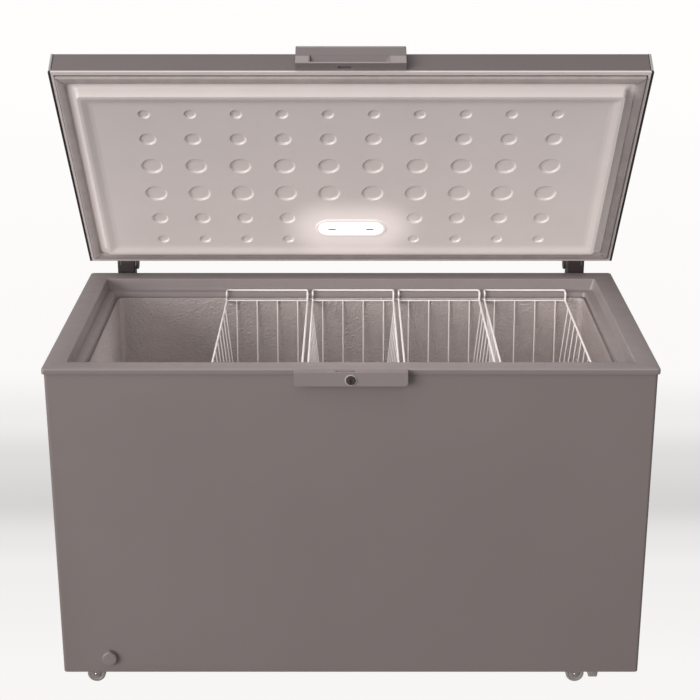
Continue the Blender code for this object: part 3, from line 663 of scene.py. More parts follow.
def make_liner():
    """The tank, with a soft fillet at its floor and a step over the compressor."""
    top = liner_high.z
    floor = LINER_FLOOR + SHEET
    fillet = rounding(0.014, (90, 70, 50, 30, 10, 0))
    loops = [liner_loop(by, floor - down, OPEN_R - by) for by, down in fillet]
    loops += [liner_loop(0, top), liner_loop(-0.022, top), liner_loop(-0.022, top - SHEET)]
    loops += [liner_loop(-SHEET, z, OPEN_R + SHEET) for z in (top - SHEET, LINER_FLOOR)]
    cup = loft(loops)
    block = loft([liner_loop(-SHEET / 2, z, OPEN_R) for z in (LINER_FLOOR + SHEET / 2, STEP_TOP)])
    across = (TANK_FRONT - 0.02, TANK_REAR + 0.02)
    block = cut(block, box((-0.75, STEP_X), across, (0.05, 0.5)))
    under = box((STEP_X + SHEET, 0.75), across, (0.05, STEP_TOP - SHEET))
    drain = prism(circle(PLUG_X, PLUG_Y, 0.0095), "Z", 0.09, 0.13)
    tank = cut(joined(cup, block), under, drain)
    remake("tank_liner", tank, "liner_sheet", "inner_liner", smooth=40)
    section = ((-0.01, 0.0001), (-0.0004, 0.0001), (-0.0004, 0.0006), (-0.01, 0.0006))
    strip = [liner_loop(by, top + up) for by, up in section]
    piece("liner_joint", loft(strip, cyclic=True), "joint_grey", "cabinet")


def make_cabinet_foam():
    """The foam poured between the sheet and the tank, with hollows for the machine bay and the drain."""
    t = SHEET + 0.0006
    high = RIM_TOP - RIM_LIP - 0.0006
    ledge = COLLAR_Z - 0.0016
    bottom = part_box("insulation_foam")[0].z
    corners = ((CABINET_INSET + t, bottom), (CABINET_INSET + t, high), (0.0445, high))
    loops = [rim_loop(by, z, steps=OPENING_STEPS) for by, z in corners]
    loops += [opening_loop(0.0002, ledge, 0.007), liner_loop(-t, ledge, OPEN_R + t)]
    loops.append(liner_loop(-t, LINER_FLOOR - 0.0006))
    step = box((STEP_X + t, 0.65), (TANK_FRONT - 0.01, TANK_REAR + 0.01), (0.08, STEP_TOP - t))
    bay = box((BAY_X, 0.75), (RIM_FRONT - 0.05, RIM_REAR + 0.05), (0.0, BAY_TOP))
    drain = prism(circle(PLUG_X, PLUG_Y, 0.012), "Z", 0.075, 0.13)
    spout = prism(circle(DRAIN_X, DRAIN_Z, 0.0125), "Y", RIM_FRONT - 0.02, RIM_FRONT + 0.13)
    across = box((DRAIN_X - 0.0105, PLUG_X + 0.0105), around(PLUG_Y, 0.011),
                 (DRAIN_Z - 0.011, DRAIN_Z + 0.01))
    remake("cabinet_foam", cut(joined(loft(loops), step), bay, drain, spout, across), "foam",
           "insulation_foam")


def make_castor(name, kingpin, axle):
    """A plate, a stamped fork and a wheel with a raised hub."""
    x, y = kingpin.x, kingpin.y
    way = 1 if axle.x > x else -1
    r = axle.z
    top = CABINET_Z - 0.0003
    half, plate = 0.0096, 0.0018
    crown = 2 * r + 0.0012
    profile = ((0.0075, 0.0), (0.0105, 0.001), (0.0105, 0.0024), (0.009, top - crown))
    neck = turned(profile, (x, y, crown), (0, 0, 1), 24)
    x0, x1 = sorted((axle.x + way * 0.0125, x - way * 0.0115))
    wide = half + plate
    bridge = prism(rounded(x0, x1, y - wide, y + wide, 0.005, 5), "Z", crown, crown + 0.0016)
    outline = [(axle.x + way * 0.0125, crown + 0.0008), (axle.x + way * 0.0095, r + 0.004)]
    outline += [(axle.x + way * u, r + v) for u, v in arc(0, 0, 0.0085, 10, -190, 10)]
    outline += [(x - way * 0.0085, crown + 0.0008)]
    cheeks = [prism(outline, "Y", y + side * half, y + side * wide) for side in (-1, 1)]
    remake(f"castor_fork_shape_{name}", joined(bridge, neck, *cheeks), "fork_paint", f"castor_fork_{name}",
           bevel=0.0005)
    rivet = mirrored(((0.0004, -wide - 0.0016), (0.0022, -wide - 0.0016), (0.0034, -wide - 0.0008),
                      (0.0034, -wide), (0.003, -wide + 0.0002)))
    pin = turned(rivet, (axle.x, y, r), (0, 1, 0), 20)
    piece(f"castor_axle_{name}", pin, "steel", BODY_OF[f"castor_fork_{name}"], slot="steel")
    width = 0.009
    tyre = ((0.0036, -width), (0.0075, -width), (0.0085, -width + 0.0008), (0.015, -width + 0.001),
            (0.0165, -width), (r - 0.002, -width), (r - 0.0006, -width + 0.0006), (r, -width + 0.002))
    wheel = turned(mirrored(tyre), (axle.x, y, r), (0, 1, 0), 48)
    bore = prism(circle(axle.x, r, 0.0036, 16), "Y", y - 0.02, y + 0.02)
    remake(f"castor_wheel_shape_{name}", cut(wheel, bore), "wheel_plastic", f"castor_wheel_{name}")


def make_castors():
    joints = {joint["name"]: joint for joint in frame["joints"]}
    for name in ("front_left", "front_right", "rear_left", "rear_right"):
        make_castor(name, *[Vector(joints[f"castor_{name}_{kind}"]["pos_m"]) for kind in ("swivel", "roll")])


def make_foot():
    low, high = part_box("foot_block")
    mid = (low + high) / 2
    loops = []
    for by, z in ((0.004, low.z), (0.003, low.z + 0.001), (0.0004, high.z - 0.004), (0.0, high.z)):
        loops.append(at_height(rounded(low.x + by, high.x - by, low.y + by, high.y - by, 0.003, 4), z))
    hollow = box(around(mid.x, 0.007), around(mid.y, 0.01), (low.z - 0.01, low.z + 0.006))
    foot = cut(loft(loops), hollow)
    remake("foot_block_shape", foot, "wheel_plastic", "foot_block", bevel=0.0005, segments=3)


# Drain


def make_drain():
    """A drop-shaped cap with its point up, and the rubber plug in the tank's floor."""
    x, z = DRAIN_X, DRAIN_Z
    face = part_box("drain_cap")[0].y + 0.011

    def drop(r, tip, out):
        lower = arc(x, z, r, 120, 420, 40)
        peak = [(x + 0.0034, z + tip - 0.001), (x, z + tip), (x - 0.0034, z + tip - 0.001)]
        return [(u, face - out, v) for u, v in lower + peak]

    steps = ((0.0, 0.0185, 0.021), (0.0072, 0.0184, 0.0209), (0.009, 0.0179, 0.0203),
             (0.0102, 0.0169, 0.0192), (0.0108, 0.0155, 0.0177), (0.011, 0.0138, 0.016))
    cap = loft([drop(r, tip, out) for out, r, tip in steps])
    stem = prism(circle(x, z, 0.006, 20), "Y", face - 0.002, face + 0.02)
    remake("drain_cap_shape", joined(cap, stem), "rim_edge", "drain_cap")
    profile = ((0.005, 0.104), (0.0056, 0.1126), (0.015, 0.1133), (0.0155, 0.1145), (0.015, 0.116),
               (0.012, 0.1168), (0.0052, 0.1172), (0.0042, 0.119), (0.0042, 0.1235), (0.0052, 0.125),
               (0.004, 0.1262))
    plug = turned(profile, (PLUG_X, PLUG_Y, 0), (0, 0, 1), 28)
    remake("drain_plug_shape", plug, "rubber", "drain_plug")


# Lock


def bolt_middle():
    low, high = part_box("lock_bolt")
    return (low.x + high.x) / 2, (low.y + high.y) / 2


def make_lock():
    low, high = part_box("lock_plate")
    front = low.y
    wall = high.y
    lip = RIM_TOP - RIM_LIP - 0.0003
    back = RIM_FRONT - 0.0003
    r = 0.0085
    face = arc(PLATE_HALF - r, low.z + r, r, 270, 360, 6) + [(PLATE_HALF, high.z), (-PLATE_HALF, high.z)]
    face += arc(-PLATE_HALF + r, low.z + r, r, 180, 270, 6)
    plate = prism(face, "Y", front, wall)
    recess = box((-0.2, 0.2), (back, wall + 0.01), (lip, high.z + 0.01))
    bolt_x, bolt_y = bolt_middle()
    slot = box((bolt_x - 0.0205, bolt_x + 0.024), around(bolt_y, 0.0026),
               (low.z + 0.005, high.z + 0.01))
    hole = prism(circle(0, KEY_Z, 0.0104, 40), "Y", front - 0.01, bolt_y)
    body = cut(plate, recess, slot, hole)
    remake("lock_plate_shape", body, "lock_plastic", "lock_plate", bevel=0.0016, segments=4)
    section = ((0.0104, 0.0), (0.0138, 0.0), (0.0136, 0.0011), (0.0128, 0.0018), (0.0116, 0.0018),
               (0.0106, 0.0009))
    rings = []
    for radius, along in section:
        rings.append([(u, front - 0.0003 - along, v) for u, v in circle(0, KEY_Z, radius, 48)])
    remake("lock_ring_shape", loft(rings, cyclic=True), "ring_satin", "lock_ring")
    profile = ((0.01, 0.0), (0.01, 0.0116), (0.0096, 0.0121), (0.004, 0.0123))
    barrel = turned(profile, (0, bolt_y - 0.003, KEY_Z), (0, -1, 0), 40)
    key_slot = box((-0.0012, 0.0012), (front - 0.01, front + 0.004), around(KEY_Z, 0.0058))
    remake("lock_barrel_shape", cut(barrel, key_slot), "barrel_satin", "lock_barrel")


# Baskets


def make_basket(number):
    """A coated wire basket: a heavy rail that hangs on the ledges, and fine wires across and along."""
    node = f"basket_{number}"
    low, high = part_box(node)
    thick, thin = 0.0026, 0.0016
    x = (low.x + high.x) / 2
    half = (high.x - low.x) / 2 - 0.0025
    left, right = x - half, x + half
    rear_out = high.y - 0.0025
    rear, front = TANK_REAR - 0.0035, TANK_FRONT + 0.0035
    hang = high.z - 0.0025
    rail = RIM_TOP - 0.049
    floor = RIM_TOP - 0.3
    taper = 0.026
    wires = bmesh.new()
    hoop_rear = bent([(left, rear, rail), (left, rear, hang), (left, rear_out, hang), (right, rear_out, hang),
                      (right, rear, hang), (right, rear, rail)], 0.006)
    hoop_front = [(px, front - (py - rear), pz) for px, py, pz in hoop_rear]
    for hoop in (hoop_rear, hoop_front):
        add_tube(wires, hoop, thick, 10)
    for side in (left, right):
        add_tube(wires, bent([(side, rear, hang - 0.004), (side, rear, rail), (side, front, rail),
                              (side, front, hang - 0.004)], 0.006), thick, 10)
    for y in (rear, front):
        add_tube(wires, [(left, y, rail), (right, y, rail)], thin * 1.1, 8)
    for at in (x - 0.081, x - 0.027, x + 0.027, x + 0.081):
        add_tube(wires, bent([(at, rear - 0.001, rail), (at, rear - taper, floor), (at, front + taper, floor),
                              (at, front + 0.001, rail)], 0.02, 6), thin, 8)
    for k in range(8):
        y = rear - 0.057 - 0.061 * k
        under = floor - 1.9 * thin
        add_tube(wires, bent([(left, y, rail), (left + taper, y, under), (right - taper, y, under),
                              (right, y, rail)], 0.018, 6), thin, 8)
    remake(f"{node}_wires", wires, "wire_coat", node, smooth=60)


# Lid


def make_lid_skin():
    """The folded lid sheet, between two end caps."""
    t = SHEET
    soft = 0.006
    loops = [rim_loop(soft, LID_TOP, 0.004)]
    loops += [rim_loop(by, LID_TOP + down) for by, down in rounding(soft, (67.5, 45, 22.5, 0))]
    loops += [rim_loop(0, LID_Z + 0.0012), rim_loop(0.0004, LID_Z + 0.0003), rim_loop(0.0014, LID_Z)]
    loops += [rim_loop(LID_LIP, LID_Z, 0.004), rim_loop(LID_LIP, LID_Z + t, 0.004)]
    loops += [rim_loop(t, LID_Z + t, CORNER_R - t), rim_loop(t, LID_TOP - soft, CORNER_R - t)]
    loops += [rim_loop(0.0064, LID_TOP - t, 0.0034)]
    # The lid sheet's darker paint is painted shade
    remake("lid_skin_sheet", loft(loops), "lid_paint", "lid_skin", smooth=40)


def dimple_rows():
    """Each row's distance in front of the hinge line, its dimples' radius, and where its cells end."""
    rows = ((0.6205, 0.015), (0.5331, 0.021), (0.4343, 0.0271), (0.3308, 0.0284), (0.2316, 0.0211),
            (0.1452, 0.015))
    middles = [(a[0] + b[0]) / 2 for a, b in zip(rows, rows[1:])]
    edges = [0.645, *middles, 0.127]
    return [(s, r, far, near) for (s, r), far, near in zip(rows, edges, edges[1:])]


def cell_edge(x0, x1, ys, nx):
    """Points round a cell: its sides along x in nx steps, and along y through the heights in ys."""
    across = [x0 + (x1 - x0) * i / nx for i in range(nx + 1)]
    points = [(x, ys[0]) for x in across[:-1]]
    points += [(x1, y) for y in ys[:-1]]
    points += [(x, ys[-1]) for x in reversed(across[1:])]
    points += [(x0, y) for y in reversed(ys[1:])]
    return points


def add_field(bm):
    """The sheet's flat middle in cells, each with a round pocket, and a slot where the lamp sits."""
    pitch, depth, n = 0.1092, 0.0044, 10
    rows = dimple_rows()

    def heights(far, near):
        return [PIVOT.y - far + (far - near) * i / n for i in range(n + 1)]

    for row, (s, r, far, near) in enumerate(rows):
        for k in range(10):
            if row >= 4 and k in (4, 5):
                continue
            cx, cy = (k - 4.5) * pitch, PIVOT.y - s
            edge = cell_edge(cx - pitch / 2, cx + pitch / 2, heights(far, near), n)
            slope = min(0.26 * r, 0.0056)
            rings = [(r + 0.0012, 0.0), (r, 0.0)]
            for i in range(1, 8):
                t = i / 7
                rings.append((r - slope * t, depth * t * t * (3 - 2 * t)))
            rings.append((r - slope - 0.0012, depth))
            angles = [atan2(y - cy, x - cx) for x, y in edge]
            loops = [at_height(edge, FIELD_Z)]
            for radius, up in rings:
                loops.append([(cx + radius * cos(a), cy + radius * sin(a), FIELD_Z + up) for a in angles])
            made = add_loft(bm, loops, capped=False)
            centre = bm.verts.new((cx, cy, FIELD_Z + depth - 0.0003))
            last = made[-1]
            for a, b in zip(last, last[1:] + last[:1]):
                bm.faces.new((a, b, centre))
    ys = heights(*rows[4][2:]) + heights(*rows[5][2:])[1:]
    edge = cell_edge(-pitch, pitch, ys, 2 * n)
    inner = lamp_slot_towards(edge, LAMP_HALF - 0.004, LAMP_R - 0.004)
    add_loft(bm, [at_height(edge, FIELD_Z), at_height(inner, FIELD_Z), at_height(inner, FIELD_Z + 0.0026)],
             capped=False)


def lamp_slot_towards(points, half, r):
    """For each point round the lamp's slot, the point on the slot's edge that it is joined to."""
    found = []
    for x, y in points:
        middle = max(r - half, min(half - r, x * SLOT_SHARE))
        away = Vector((x - middle, y - LAMP_Y)).normalized() * r
        found.append((middle + away.x, LAMP_Y + away.y))
    return found


def make_lid_panel():
    """The formed inner sheet: flange, raised border with soft edges, and the field of pockets."""
    bm = bmesh.new()
    add_field(bm)
    bmesh.ops.remove_doubles(bm, verts=bm.verts, dist=1e-5)
    inner_edges = []
    for edge in bm.edges:
        if edge.is_boundary and all(abs(v.co.z - FIELD_Z) < 1e-6 for v in edge.verts):
            inner_edges.append(edge)
    corners = [(0.0345, FIELD_Z), (0.0335, FIELD_Z), (0.024, FIELD_Z - 0.0008), (0.0085, PANEL_LOW),
               (0.0, PANEL_LOW), (-0.0065, LID_Z - 0.005), (-0.0135, LID_Z), (-0.03, LID_Z)]
    profile = softened(corners, (0.0005, 0.004, 0.0022, 0.0014, 0.003, 0.005), 5)
    loops = [panel_loop(by, z) for by, z in profile[:-1]]
    loops.append(rim_loop(LID_LIP, LID_Z, 0.004, 8))
    rings = add_loft(bm, loops, capped=False)
    first = [bm.edges.get((a, b)) for a, b in zip(rings[0], rings[0][1:] + rings[0][:1])]
    bmesh.ops.triangle_fill(bm, use_beauty=True, use_dissolve=False, edges=inner_edges + first)
    bmesh.ops.recalc_face_normals(bm, faces=bm.faces)
    if sum(face.normal.z * face.calc_area() for face in bm.faces) > 0:
        bmesh.ops.reverse_faces(bm, faces=bm.faces)
    panel = new_object(bm, "lid_inner_panel")
    wall = panel.modifiers.new("Solidify", "SOLIDIFY")
    wall.thickness = PANEL_WALL
    wall.offset = -1
    dress(panel, "panel_plastic", "lid", ("lid_panel",), smooth=50)


def make_lid_foam():
    """The foam in the lid, clear of the pockets in the panel, with a well for the lamp's board."""
    deep = FIELD_Z + 0.0066
    t = SHEET + 0.0005
    corners = ((0.033, deep), (0.009, PANEL_LOW + 0.0028), (0.003, PANEL_LOW + 0.0028),
               (-0.003, LID_Z - 0.0028), (-0.0105, LID_Z + 0.0026))
    loops = [panel_loop(by, z) for by, z in corners]
    loops += [rim_loop(t, LID_Z + 0.0026, CORNER_R - t, 8), rim_loop(t, LID_TOP - 0.0065, CORNER_R - t, 8)]
    loops += [rim_loop(0.0072, LID_TOP - t, 0.003, 8)]
    well = prism(pill(0, LAMP_Y, LAMP_HALF, LAMP_R), "Z", FIELD_Z - 0.02, FIELD_Z + 0.01)
    remake("lid_foam_core", cut(loft(loops), well), "foam", "lid_foam")


def make_gasket():
    high = LID_Z - 0.0003
    section = [(0.0125, high), (0.0125, high - 0.003), (0.015, high - 0.007), (0.024, high - 0.0074),
               (0.032, high - 0.0062), (0.0345, high - 0.0022), (0.0345, high)]
    line = softened(section, (0.001, 0.0022, 0.006, 0.003, 0.001), 4)
    loops = [rim_loop(by, z, max(0.0035, 0.35 * by), 8) for by, z in line]
    remake("lid_gasket_profile", loft(loops, cyclic=True), "seal_rubber", "lid_gasket", smooth=60)


def make_gasket_seams():
    """The seams where the seal's four lengths meet."""
    low, high = LID_Z - 0.00785, LID_Z - 0.006
    half = 0.0006
    for side, side_name in SIDES:
        for edge, way, end_name in ((RIM_FRONT, 1, "front"), (RIM_REAR, -1, "rear")):
            outline = []
            for by, off in ((0.015, -half), (0.032, -half), (0.032, half), (0.015, half)):
                outline.append((side * (RIM_X - by - off), edge + way * (by - off)))
            seam = prism(outline, "Z", low, high)
            piece(f"lid_gasket_seam_{end_name}_{side_name}", seam, "rim_edge", "lid")


def make_lid_trim():
    """A light strip hooked round the lid's lower edge, and the dark joint between it and the seal."""
    low, high = LID_Z - 0.0009, LID_Z + 0.0042
    end = RIM_X - 0.0048
    corners = ((-0.0007, high), (-0.0007, low), (0.01, low), (0.01, LID_Z - 0.0001),
               (-0.0001, LID_Z - 0.0001), (-0.0001, high))
    for name, edge, way in (("front", RIM_FRONT, 1), ("rear", RIM_REAR, -1)):
        strip = prism([(edge + way * by, z) for by, z in corners], "X", -end, end)
        piece(f"lid_trim_{name}", strip, "edge_light", "lid", bevel=0.0004, smooth=30)
    for side, name in SIDES:
        strip = box(sorted((side * (RIM_X - 0.011), side * end)), (RIM_FRONT + 0.0102, RIM_REAR - 0.0102),
                    (low, LID_Z - 0.0001))
        piece(f"lid_trim_{name}", strip, "edge_light", "lid", bevel=0.0003)
    corners = ((0.0098, 0.0001), (0.0098, 0.0005), (0.0128, 0.0005), (0.0128, 0.0001))
    joint = [rim_loop(by, LID_Z - down, 0.003) for by, down in corners]
    piece("lid_trim_joint", loft(joint, cyclic=True), "edge_dark", "lid")


def make_lid_ends():
    """A cap over each end of the lid in light grey, partly its trim colour and partly a painted reflection,
    its seam to the sheet, and a near-black bead under its edge as painted shade.
    """
    low = LID_Z + 0.005
    # The cap is partly a painted reflection; the bead is painted shade
    parts = (("cap", -0.0052, 0.0007, 0.0007, low, LID_TOP + 0.0007, 0.0066, 5, "cap_grey", 0.0016, 4),
             ("seam", -0.0064, -0.005, 0.0003, low, LID_TOP + 0.0003, 0.0064, 5, "edge_dark", 0.0, 3),
             ("bead", -0.0046, 0.001, 0.0008, low - 0.0066, low - 0.0002, 0.0015, 4, "edge_dark", 0.0012, 3))
    for side, side_name in SIDES:
        for name, inner, outer, out, z0, z1, r, steps, look, bevel, segments in parts:
            outline = rounded(RIM_FRONT - out, RIM_REAR + out, z0, z1, r, steps)
            part = prism(outline, "X", *sorted((side * (RIM_X + inner), side * (RIM_X + outer))))
            piece(f"lid_end_{name}_{side_name}", part, look, "lid", bevel=bevel, segments=segments)


def lamp_slot(section):
    """Loops round the lamp's slot, each some way in from its edge and above the field."""
    return [at_height(pill(0, LAMP_Y, LAMP_HALF - by, LAMP_R - by), FIELD_Z + up) for by, up in section]


def make_lamp():
    frame_section = ((0.0, -0.0003), (0.0, -0.0014), (0.001, -0.0024), (0.005, -0.003), (0.0072, -0.0026),
                     (0.0076, -0.0003))
    # The frame shares the inner sheet's painted glow
    remake("lamp_frame", loft(lamp_slot(frame_section), cyclic=True), "panel_plastic", "lamp_bezel",
           smooth=40)
    dome = ((0.0082, 0.002), (0.008, -0.0022), (0.009, -0.0034), (0.012, -0.0042), (0.018, -0.0046))
    remake("lamp_cover", loft(lamp_slot(dome)), "lamp_lens", "lamp_lens", smooth=40)
    for side, name in SIDES:
        mark = prism(pill(side * 0.049, LAMP_Y, 0.0098, 0.0012, 4), "Z", FIELD_Z - 0.006, FIELD_Z - 0.0044)
        piece(f"lamp_clip_{name}", mark, "barrel_satin", "lid")


def make_handle():
    """A wide grip with a finger scoop, lighter end blocks, a light strip along its top edge as a painted
    highlight, and a slot beneath for the bolt.
    """
    front, back = RIM_FRONT - HANDLE_OUT, RIM_FRONT - 0.0003
    low, high = LID_Z + 0.0045, LID_TOP - 0.001
    r = 0.004
    inner = PLATE_HALF - r
    outline = [(-PLATE_HALF, low), (PLATE_HALF, low), *arc(inner, high - r, r, 0, 90, 5)]
    outline += arc(-inner, high - r, r, 90, 180, 5)
    body = prism(outline, "Y", front, back)
    hollow = [(front - 0.01, low + 0.0055), (front + 0.008, low + 0.0055), (front + 0.0092, low + 0.012),
              (front + 0.0012, low + 0.029), (front - 0.01, low + 0.035)]
    curve = softened(hollow, (0.004, 0.007, 0.01), 6)
    scoop_half = 0.093
    scoop = prism(curve, "X", -scoop_half - 0.01, scoop_half + 0.01)
    wide = ((-scoop_half - 0.004, front - 0.011), (scoop_half + 0.0168, front - 0.011),
            (scoop_half - 0.0163, front + 0.01), (-scoop_half, front + 0.01))
    scoop = boolean(scoop, "INTERSECT", prism(wide, "Z", low, high))
    bolt_x, bolt_y = bolt_middle()
    keeper = box(around(bolt_x, 0.015), around(bolt_y, 0.0035), (low - 0.01, low + 0.0215))
    grip = cut(body, scoop, keeper)
    remake("lid_handle_grip", grip, "handle_plastic", "lid_handle", bevel=0.0012, segments=3)
    end = PLATE_HALF - 0.0005
    pad_left, pad_right = -0.0975, 0.0925
    raised = (front - 0.0006, front + 0.002)
    for name, x0, x1 in (("left", -end, pad_left), ("right", pad_right, end)):
        pad = prism(rounded(x0, x1, low + 0.0012, low + 0.024, 0.0015, 4), "Y", *raised)
        piece(f"handle_end_{name}", pad, "handle_light", "lid", bevel=0.0004)
    # A light strip along the grip's top edge: a painted highlight
    highlight_strip = box((-inner, inner), (front - 0.0004, front + 0.002), (high - 0.0042, high - 0.0008))
    piece("handle_upper_highlight_strip", highlight_strip, "cap_grey", "lid", bevel=0.0003)
    lip = box((pad_left, pad_right), raised, (low + 0.001, low + 0.0048))
    piece("handle_lower_lip", lip, "handle_light", "lid", bevel=0.0006)


# Hinges


def make_hinge(side, sign):
    """The cover on the back of the cabinet with its rib, and beside it the lid's arm and its washer; rib and
    washer are lighter grey as painted highlights along the hinge's edges.
    """
    low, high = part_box(f"hinge_cover_{side}")
    y, z = PIVOT.y, PIVOT.z
    r = high.z - z
    wall = low.y
    lower = [(y + r, z), (y + r, 0.75), (y - 0.004, low.z), (wall, low.z)]
    outline = arc(y, z, r, 180, 0, 20) + softened(lower, (0.03, 0.006), 5)[1:]
    outline += [(wall, 0.818), (y - r, 0.826)]
    remake(f"hinge_cover_shell_{side}", prism(outline, "X", low.x, high.x), "dark_plastic",
           f"hinge_cover_{side}", bevel=0.0035, segments=4)
    # The rib and the washer are lighter: painted highlights
    rib_x = high.x - 0.0085 if sign > 0 else low.x + 0.0085
    outline = arc(y, z, r + 0.0006, 190, 0, 20) + arc(y, z, r - 0.002, 0, 190, 20)
    rib = prism(outline, "X", rib_x - 0.0009, rib_x + 0.0009)
    piece(f"hinge_cover_rib_{side}", rib, "hinge_light", "cabinet")

    leaf_low, leaf_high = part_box(f"hinge_arm_{side}")
    inner = leaf_low.x if sign > 0 else leaf_high.x
    face = RIM_REAR + 0.0003
    leaf = box((leaf_low.x, leaf_high.x), (face, face + 0.0022), (LID_Z + 0.004, LID_TOP - 0.008))
    outline = [(face + 0.001, LID_Z + 0.004), *arc(y, z, r - 0.0004, 200, 455, 30)]
    outline.append((face + 0.001, LID_TOP - 0.012))
    cheek = prism(outline, "X", *sorted((inner, inner + sign * 0.005)))
    washer = prism(circle(y, z, r - 0.0012, 40), "X", *sorted((inner + sign * 0.0051, inner + sign * 0.0079)))

    def pin_hole():
        return prism(circle(y, z, 0.0043, 20), "X", leaf_low.x - 0.01, leaf_high.x + 0.01)

    remake(f"hinge_arm_shape_{side}", cut(joined(leaf, cheek), pin_hole()), "dark_plastic",
           f"hinge_arm_{side}", bevel=0.0012, segments=3)
    piece(f"hinge_washer_{side}", cut(washer, pin_hole()), "hinge_light", "lid", bevel=0.0004)


def add_screw(bm, at, axis, r=0.0042):
    """A pan-head screw with a cross recess left as a shallow dish."""
    profile = ((r, 0.0), (r, 0.0006), (r * 0.86, 0.0016), (r * 0.52, 0.0022), (r * 0.36, 0.0022),
               (r * 0.2, 0.0012))
    add_turned(bm, profile, at, axis, 20)


def make_screws():
    rear, right = bmesh.new(), bmesh.new()
    for _, side in SIDES:
        low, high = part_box(f"hinge_bracket_{side}")
        for z in (low.z + 0.014, low.z + 0.036, low.z + 0.15):
            for x in (low.x + 0.008, high.x - 0.008):
                add_screw(rear, (x, high.y, z), (0, 1, 0))
    piece("bracket_screws", rear, "steel", "cabinet", slot="steel")
    low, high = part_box("side_grille")
    for y in (low.y + 0.012, high.y - 0.012):
        for z in (low.z + 0.012, high.z - 0.012):
            add_screw(right, (high.x, y, z), (1, 0, 0))
    piece("grille_screws", right, "steel", "cabinet", slot="steel")


# Right side


def make_grille():
    low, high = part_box("side_grille")
    plate = prism(rounded(low.y, high.y, low.z, high.z, 0.01, 6), "X", low.x, high.x)
    through = (0.68, 0.72)
    slots = bmesh.new()
    for i in range(9):
        z = 0.112 + 0.017 * i
        add_prism(slots, [(y, z + v) for y, v in pill(0.035, 0, 0.095, 0.004, 5)], "X", *through)
    knob_hole = prism(circle(-0.13, 0.18, 0.0215, 40), "X", *through)
    remake("side_grille_panel", cut(plate, slots, knob_hole), "dark_plastic", "side_grille", bevel=0.0007)
    low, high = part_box("thermostat_knob")
    centre = (low + high) / 2
    profile = ((0.0195, 0.0), (0.0195, 0.004), (0.018, 0.0052), (0.0172, 0.014), (0.016, 0.0158),
               (0.01, 0.016))
    knob = turned(profile, (low.x, centre.y, centre.z), (1, 0, 0), 48)
    pointer = box((high.x - 0.0012, high.x + 0.01), around(centre.y, 0.0012),
                  (centre.z + 0.002, centre.z + 0.025))
    ridges = bmesh.new()
    for i in range(24):
        a = 2 * pi * (i + 0.5) / 24
        y, z = centre.y + 0.0186 * cos(a), centre.z + 0.0186 * sin(a)
        add_prism(ridges, circle(y, z, 0.0012, 8), "X", low.x + 0.0055, high.x + 0.002)
    remake("thermostat_dial", cut(knob, pointer, ridges), "rim_plastic", "thermostat_knob", smooth=40)


def make_spacers():
    for _, side in SIDES:
        low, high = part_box(f"wall_spacer_{side}")
        loops = []
        for inset, y in ((0.0, low.y), (0.0, low.y + 0.003), (0.004, low.y + 0.005), (0.007, high.y - 0.002),
                         (0.009, high.y)):
            outline = rounded(low.x + inset, high.x - inset, low.z + inset, high.z - inset, 0.006, 5)
            loops.append([(u, y, v) for u, v in outline])
        remake(f"wall_spacer_shape_{side}", loft(loops), "dark_plastic", f"wall_spacer_{side}", smooth=40)


# Stage


def emptied_tree(owner):
    owner.use_nodes = True
    owner.node_tree.nodes.clear()
    return owner.node_tree


def seen_and_felt(tree, seen, felt, output):
    """Gives the camera one light and everything else another, so a white floor doesn't flood the part."""
    path = add_node(tree, "LightPath")
    mix = add_node(tree, "MixShader", Fac=path.outputs["Is Camera Ray"])
    tree.links.new(felt.outputs[0], mix.inputs[1])
    tree.links.new(seen.outputs[0], mix.inputs[2])
    add_node(tree, output, Surface=mix.outputs["Shader"])


def make_stage():
    bm = bmesh.new()
    bmesh.ops.create_grid(bm, x_segments=1, y_segments=1, size=FLOOR_HALF)
    floor = new_object(bm, "floor")
    made = bpy.data.materials.new("floor_white")
    tree = emptied_tree(made)
    away = add_node(tree, "MapRange", Value=along_axes(tree)["Y"], From_Min=FLOOR_NEAR, From_Max=FLOOR_FAR)
    shades = add_node(tree, "ValToRGB", Fac=away.outputs["Result"])
    tones = shades.color_ramp
    tones.interpolation = "EASE"
    # The darker stops are painted shade
    stops = [(place, (tone, 0.985 * tone, 0.98 * tone, 1)) for place, tone in FLOOR_TONES_AND_PAINTED_SHADE]
    tones.elements[0].position, tones.elements[0].color = stops[0]
    tones.elements[1].position, tones.elements[1].color = stops[-1]
    for place, tone in stops[1:-1]:
        tones.elements.new(place).color = tone
    seen = add_node(tree, "Emission", Color=shades.outputs["Color"])
    seen_and_felt(tree, seen, add_node(tree, "Emission", Strength=FLOOR_GLOW), "OutputMaterial")
    floor.data.materials.append(made)


def add_panel_light(name, power, size, place, turn):
    """A soft panel that only lights the inside: it shines down, or towards -X with a turn of 90 degrees."""
    light = bpy.data.lights.new(name, "AREA")
    light.shape = "RECTANGLE"
    light.size, light.size_y = size
    light.energy = power
    light.spread = radians(120)
    panel = add_object(name, light)
    panel.location = place
    panel.rotation_euler = (0, radians(turn), 0)
    panel.visible_camera = False
    panel.visible_glossy = False


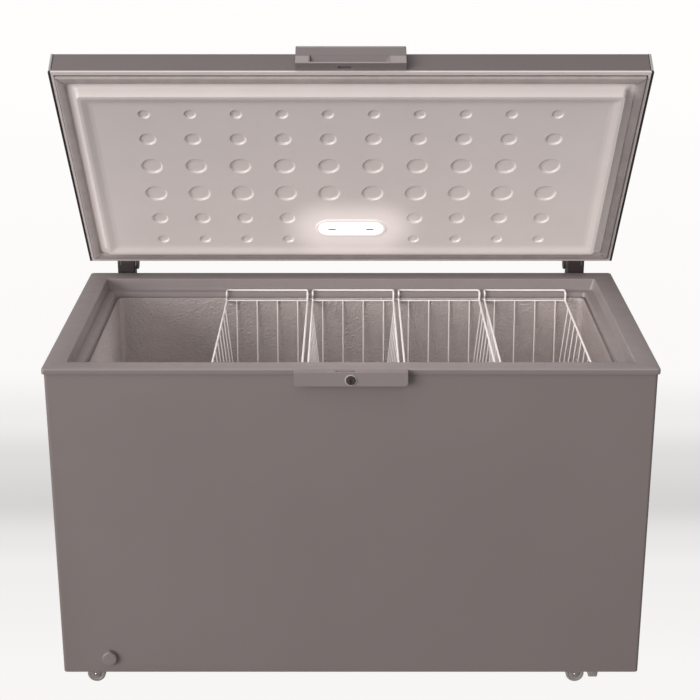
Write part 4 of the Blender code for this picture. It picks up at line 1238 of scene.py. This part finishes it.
def make_lights():
    """A large soft lamp low on the left, in a studio that is bright overhead and dark on the right."""
    light = bpy.data.lights.new("key", "SUN")
    light.energy = KEY_POWER
    light.angle = radians(KEY_SIZE)
    light.color = (1.0, 0.99, 0.98)
    add_object("key", light).rotation_euler = Vector(KEY_FROM).to_track_quat("Z", "Y").to_euler()
    add_panel_light("tank", TANK_POWER, (1.2, 0.3), (0.12, RIM_FRONT + 0.22, RIM_TOP + 0.52), 0)
    add_panel_light("bay", BAY_POWER, (0.2, 0.36), (-0.36, -0.04, RIM_TOP - 0.13), 90)
    world = bpy.data.worlds.new("studio")
    tree = emptied_tree(world)
    towards = add_node(tree, "VectorMath", operation="DOT_PRODUCT")
    tree.links.new(add_node(tree, "TexCoord").outputs["Generated"], towards.inputs[0])
    towards.inputs[1].default_value = STUDIO_FROM
    rise = add_node(tree, "MapRange", Value=towards.outputs["Value"], To_Min=STUDIO_LOW, To_Max=STUDIO_HIGH)
    felt = add_node(tree, "Background", Color=(1.0, 0.99, 0.99, 1), Strength=rise.outputs["Result"])
    seen_and_felt(tree, add_node(tree, "Background", Color=(1, 1, 1, 1)), felt, "OutputWorld")
    bpy.context.scene.world = world


def make_camera():
    """At the height and angle from which the freezer is seen, a little above it."""
    camera = add_object("camera", bpy.data.cameras.new("camera"))
    camera.location = (0, RIM_FRONT - CAMERA_BACK, RIM_TOP + CAMERA_UP)
    camera.rotation_euler = (radians(90 - CAMERA_DIP), 0, 0)
    camera.data.lens = CAMERA_LENS
    camera.data.sensor_width = 36
    camera.data.shift_x, camera.data.shift_y = CAMERA_SHIFT
    bpy.context.scene.camera = camera


def build():
    dress_frame()
    make_camera()
    make_shell()
    make_collar()
    make_liner()
    make_cabinet_foam()
    make_castors()
    make_foot()
    make_drain()
    make_lock()
    for number in range(1, 5):
        make_basket(number)
    make_lid_skin()
    make_lid_panel()
    make_lid_foam()
    make_gasket()
    make_gasket_seams()
    make_lid_trim()
    make_lid_ends()
    make_lamp()
    make_handle()
    for sign, side in SIDES:
        make_hinge(side, sign)
    make_screws()
    make_grille()
    make_spacers()
    make_stage()
    make_lights()
    bpy.context.scene.view_settings.view_transform = "Standard"


build()
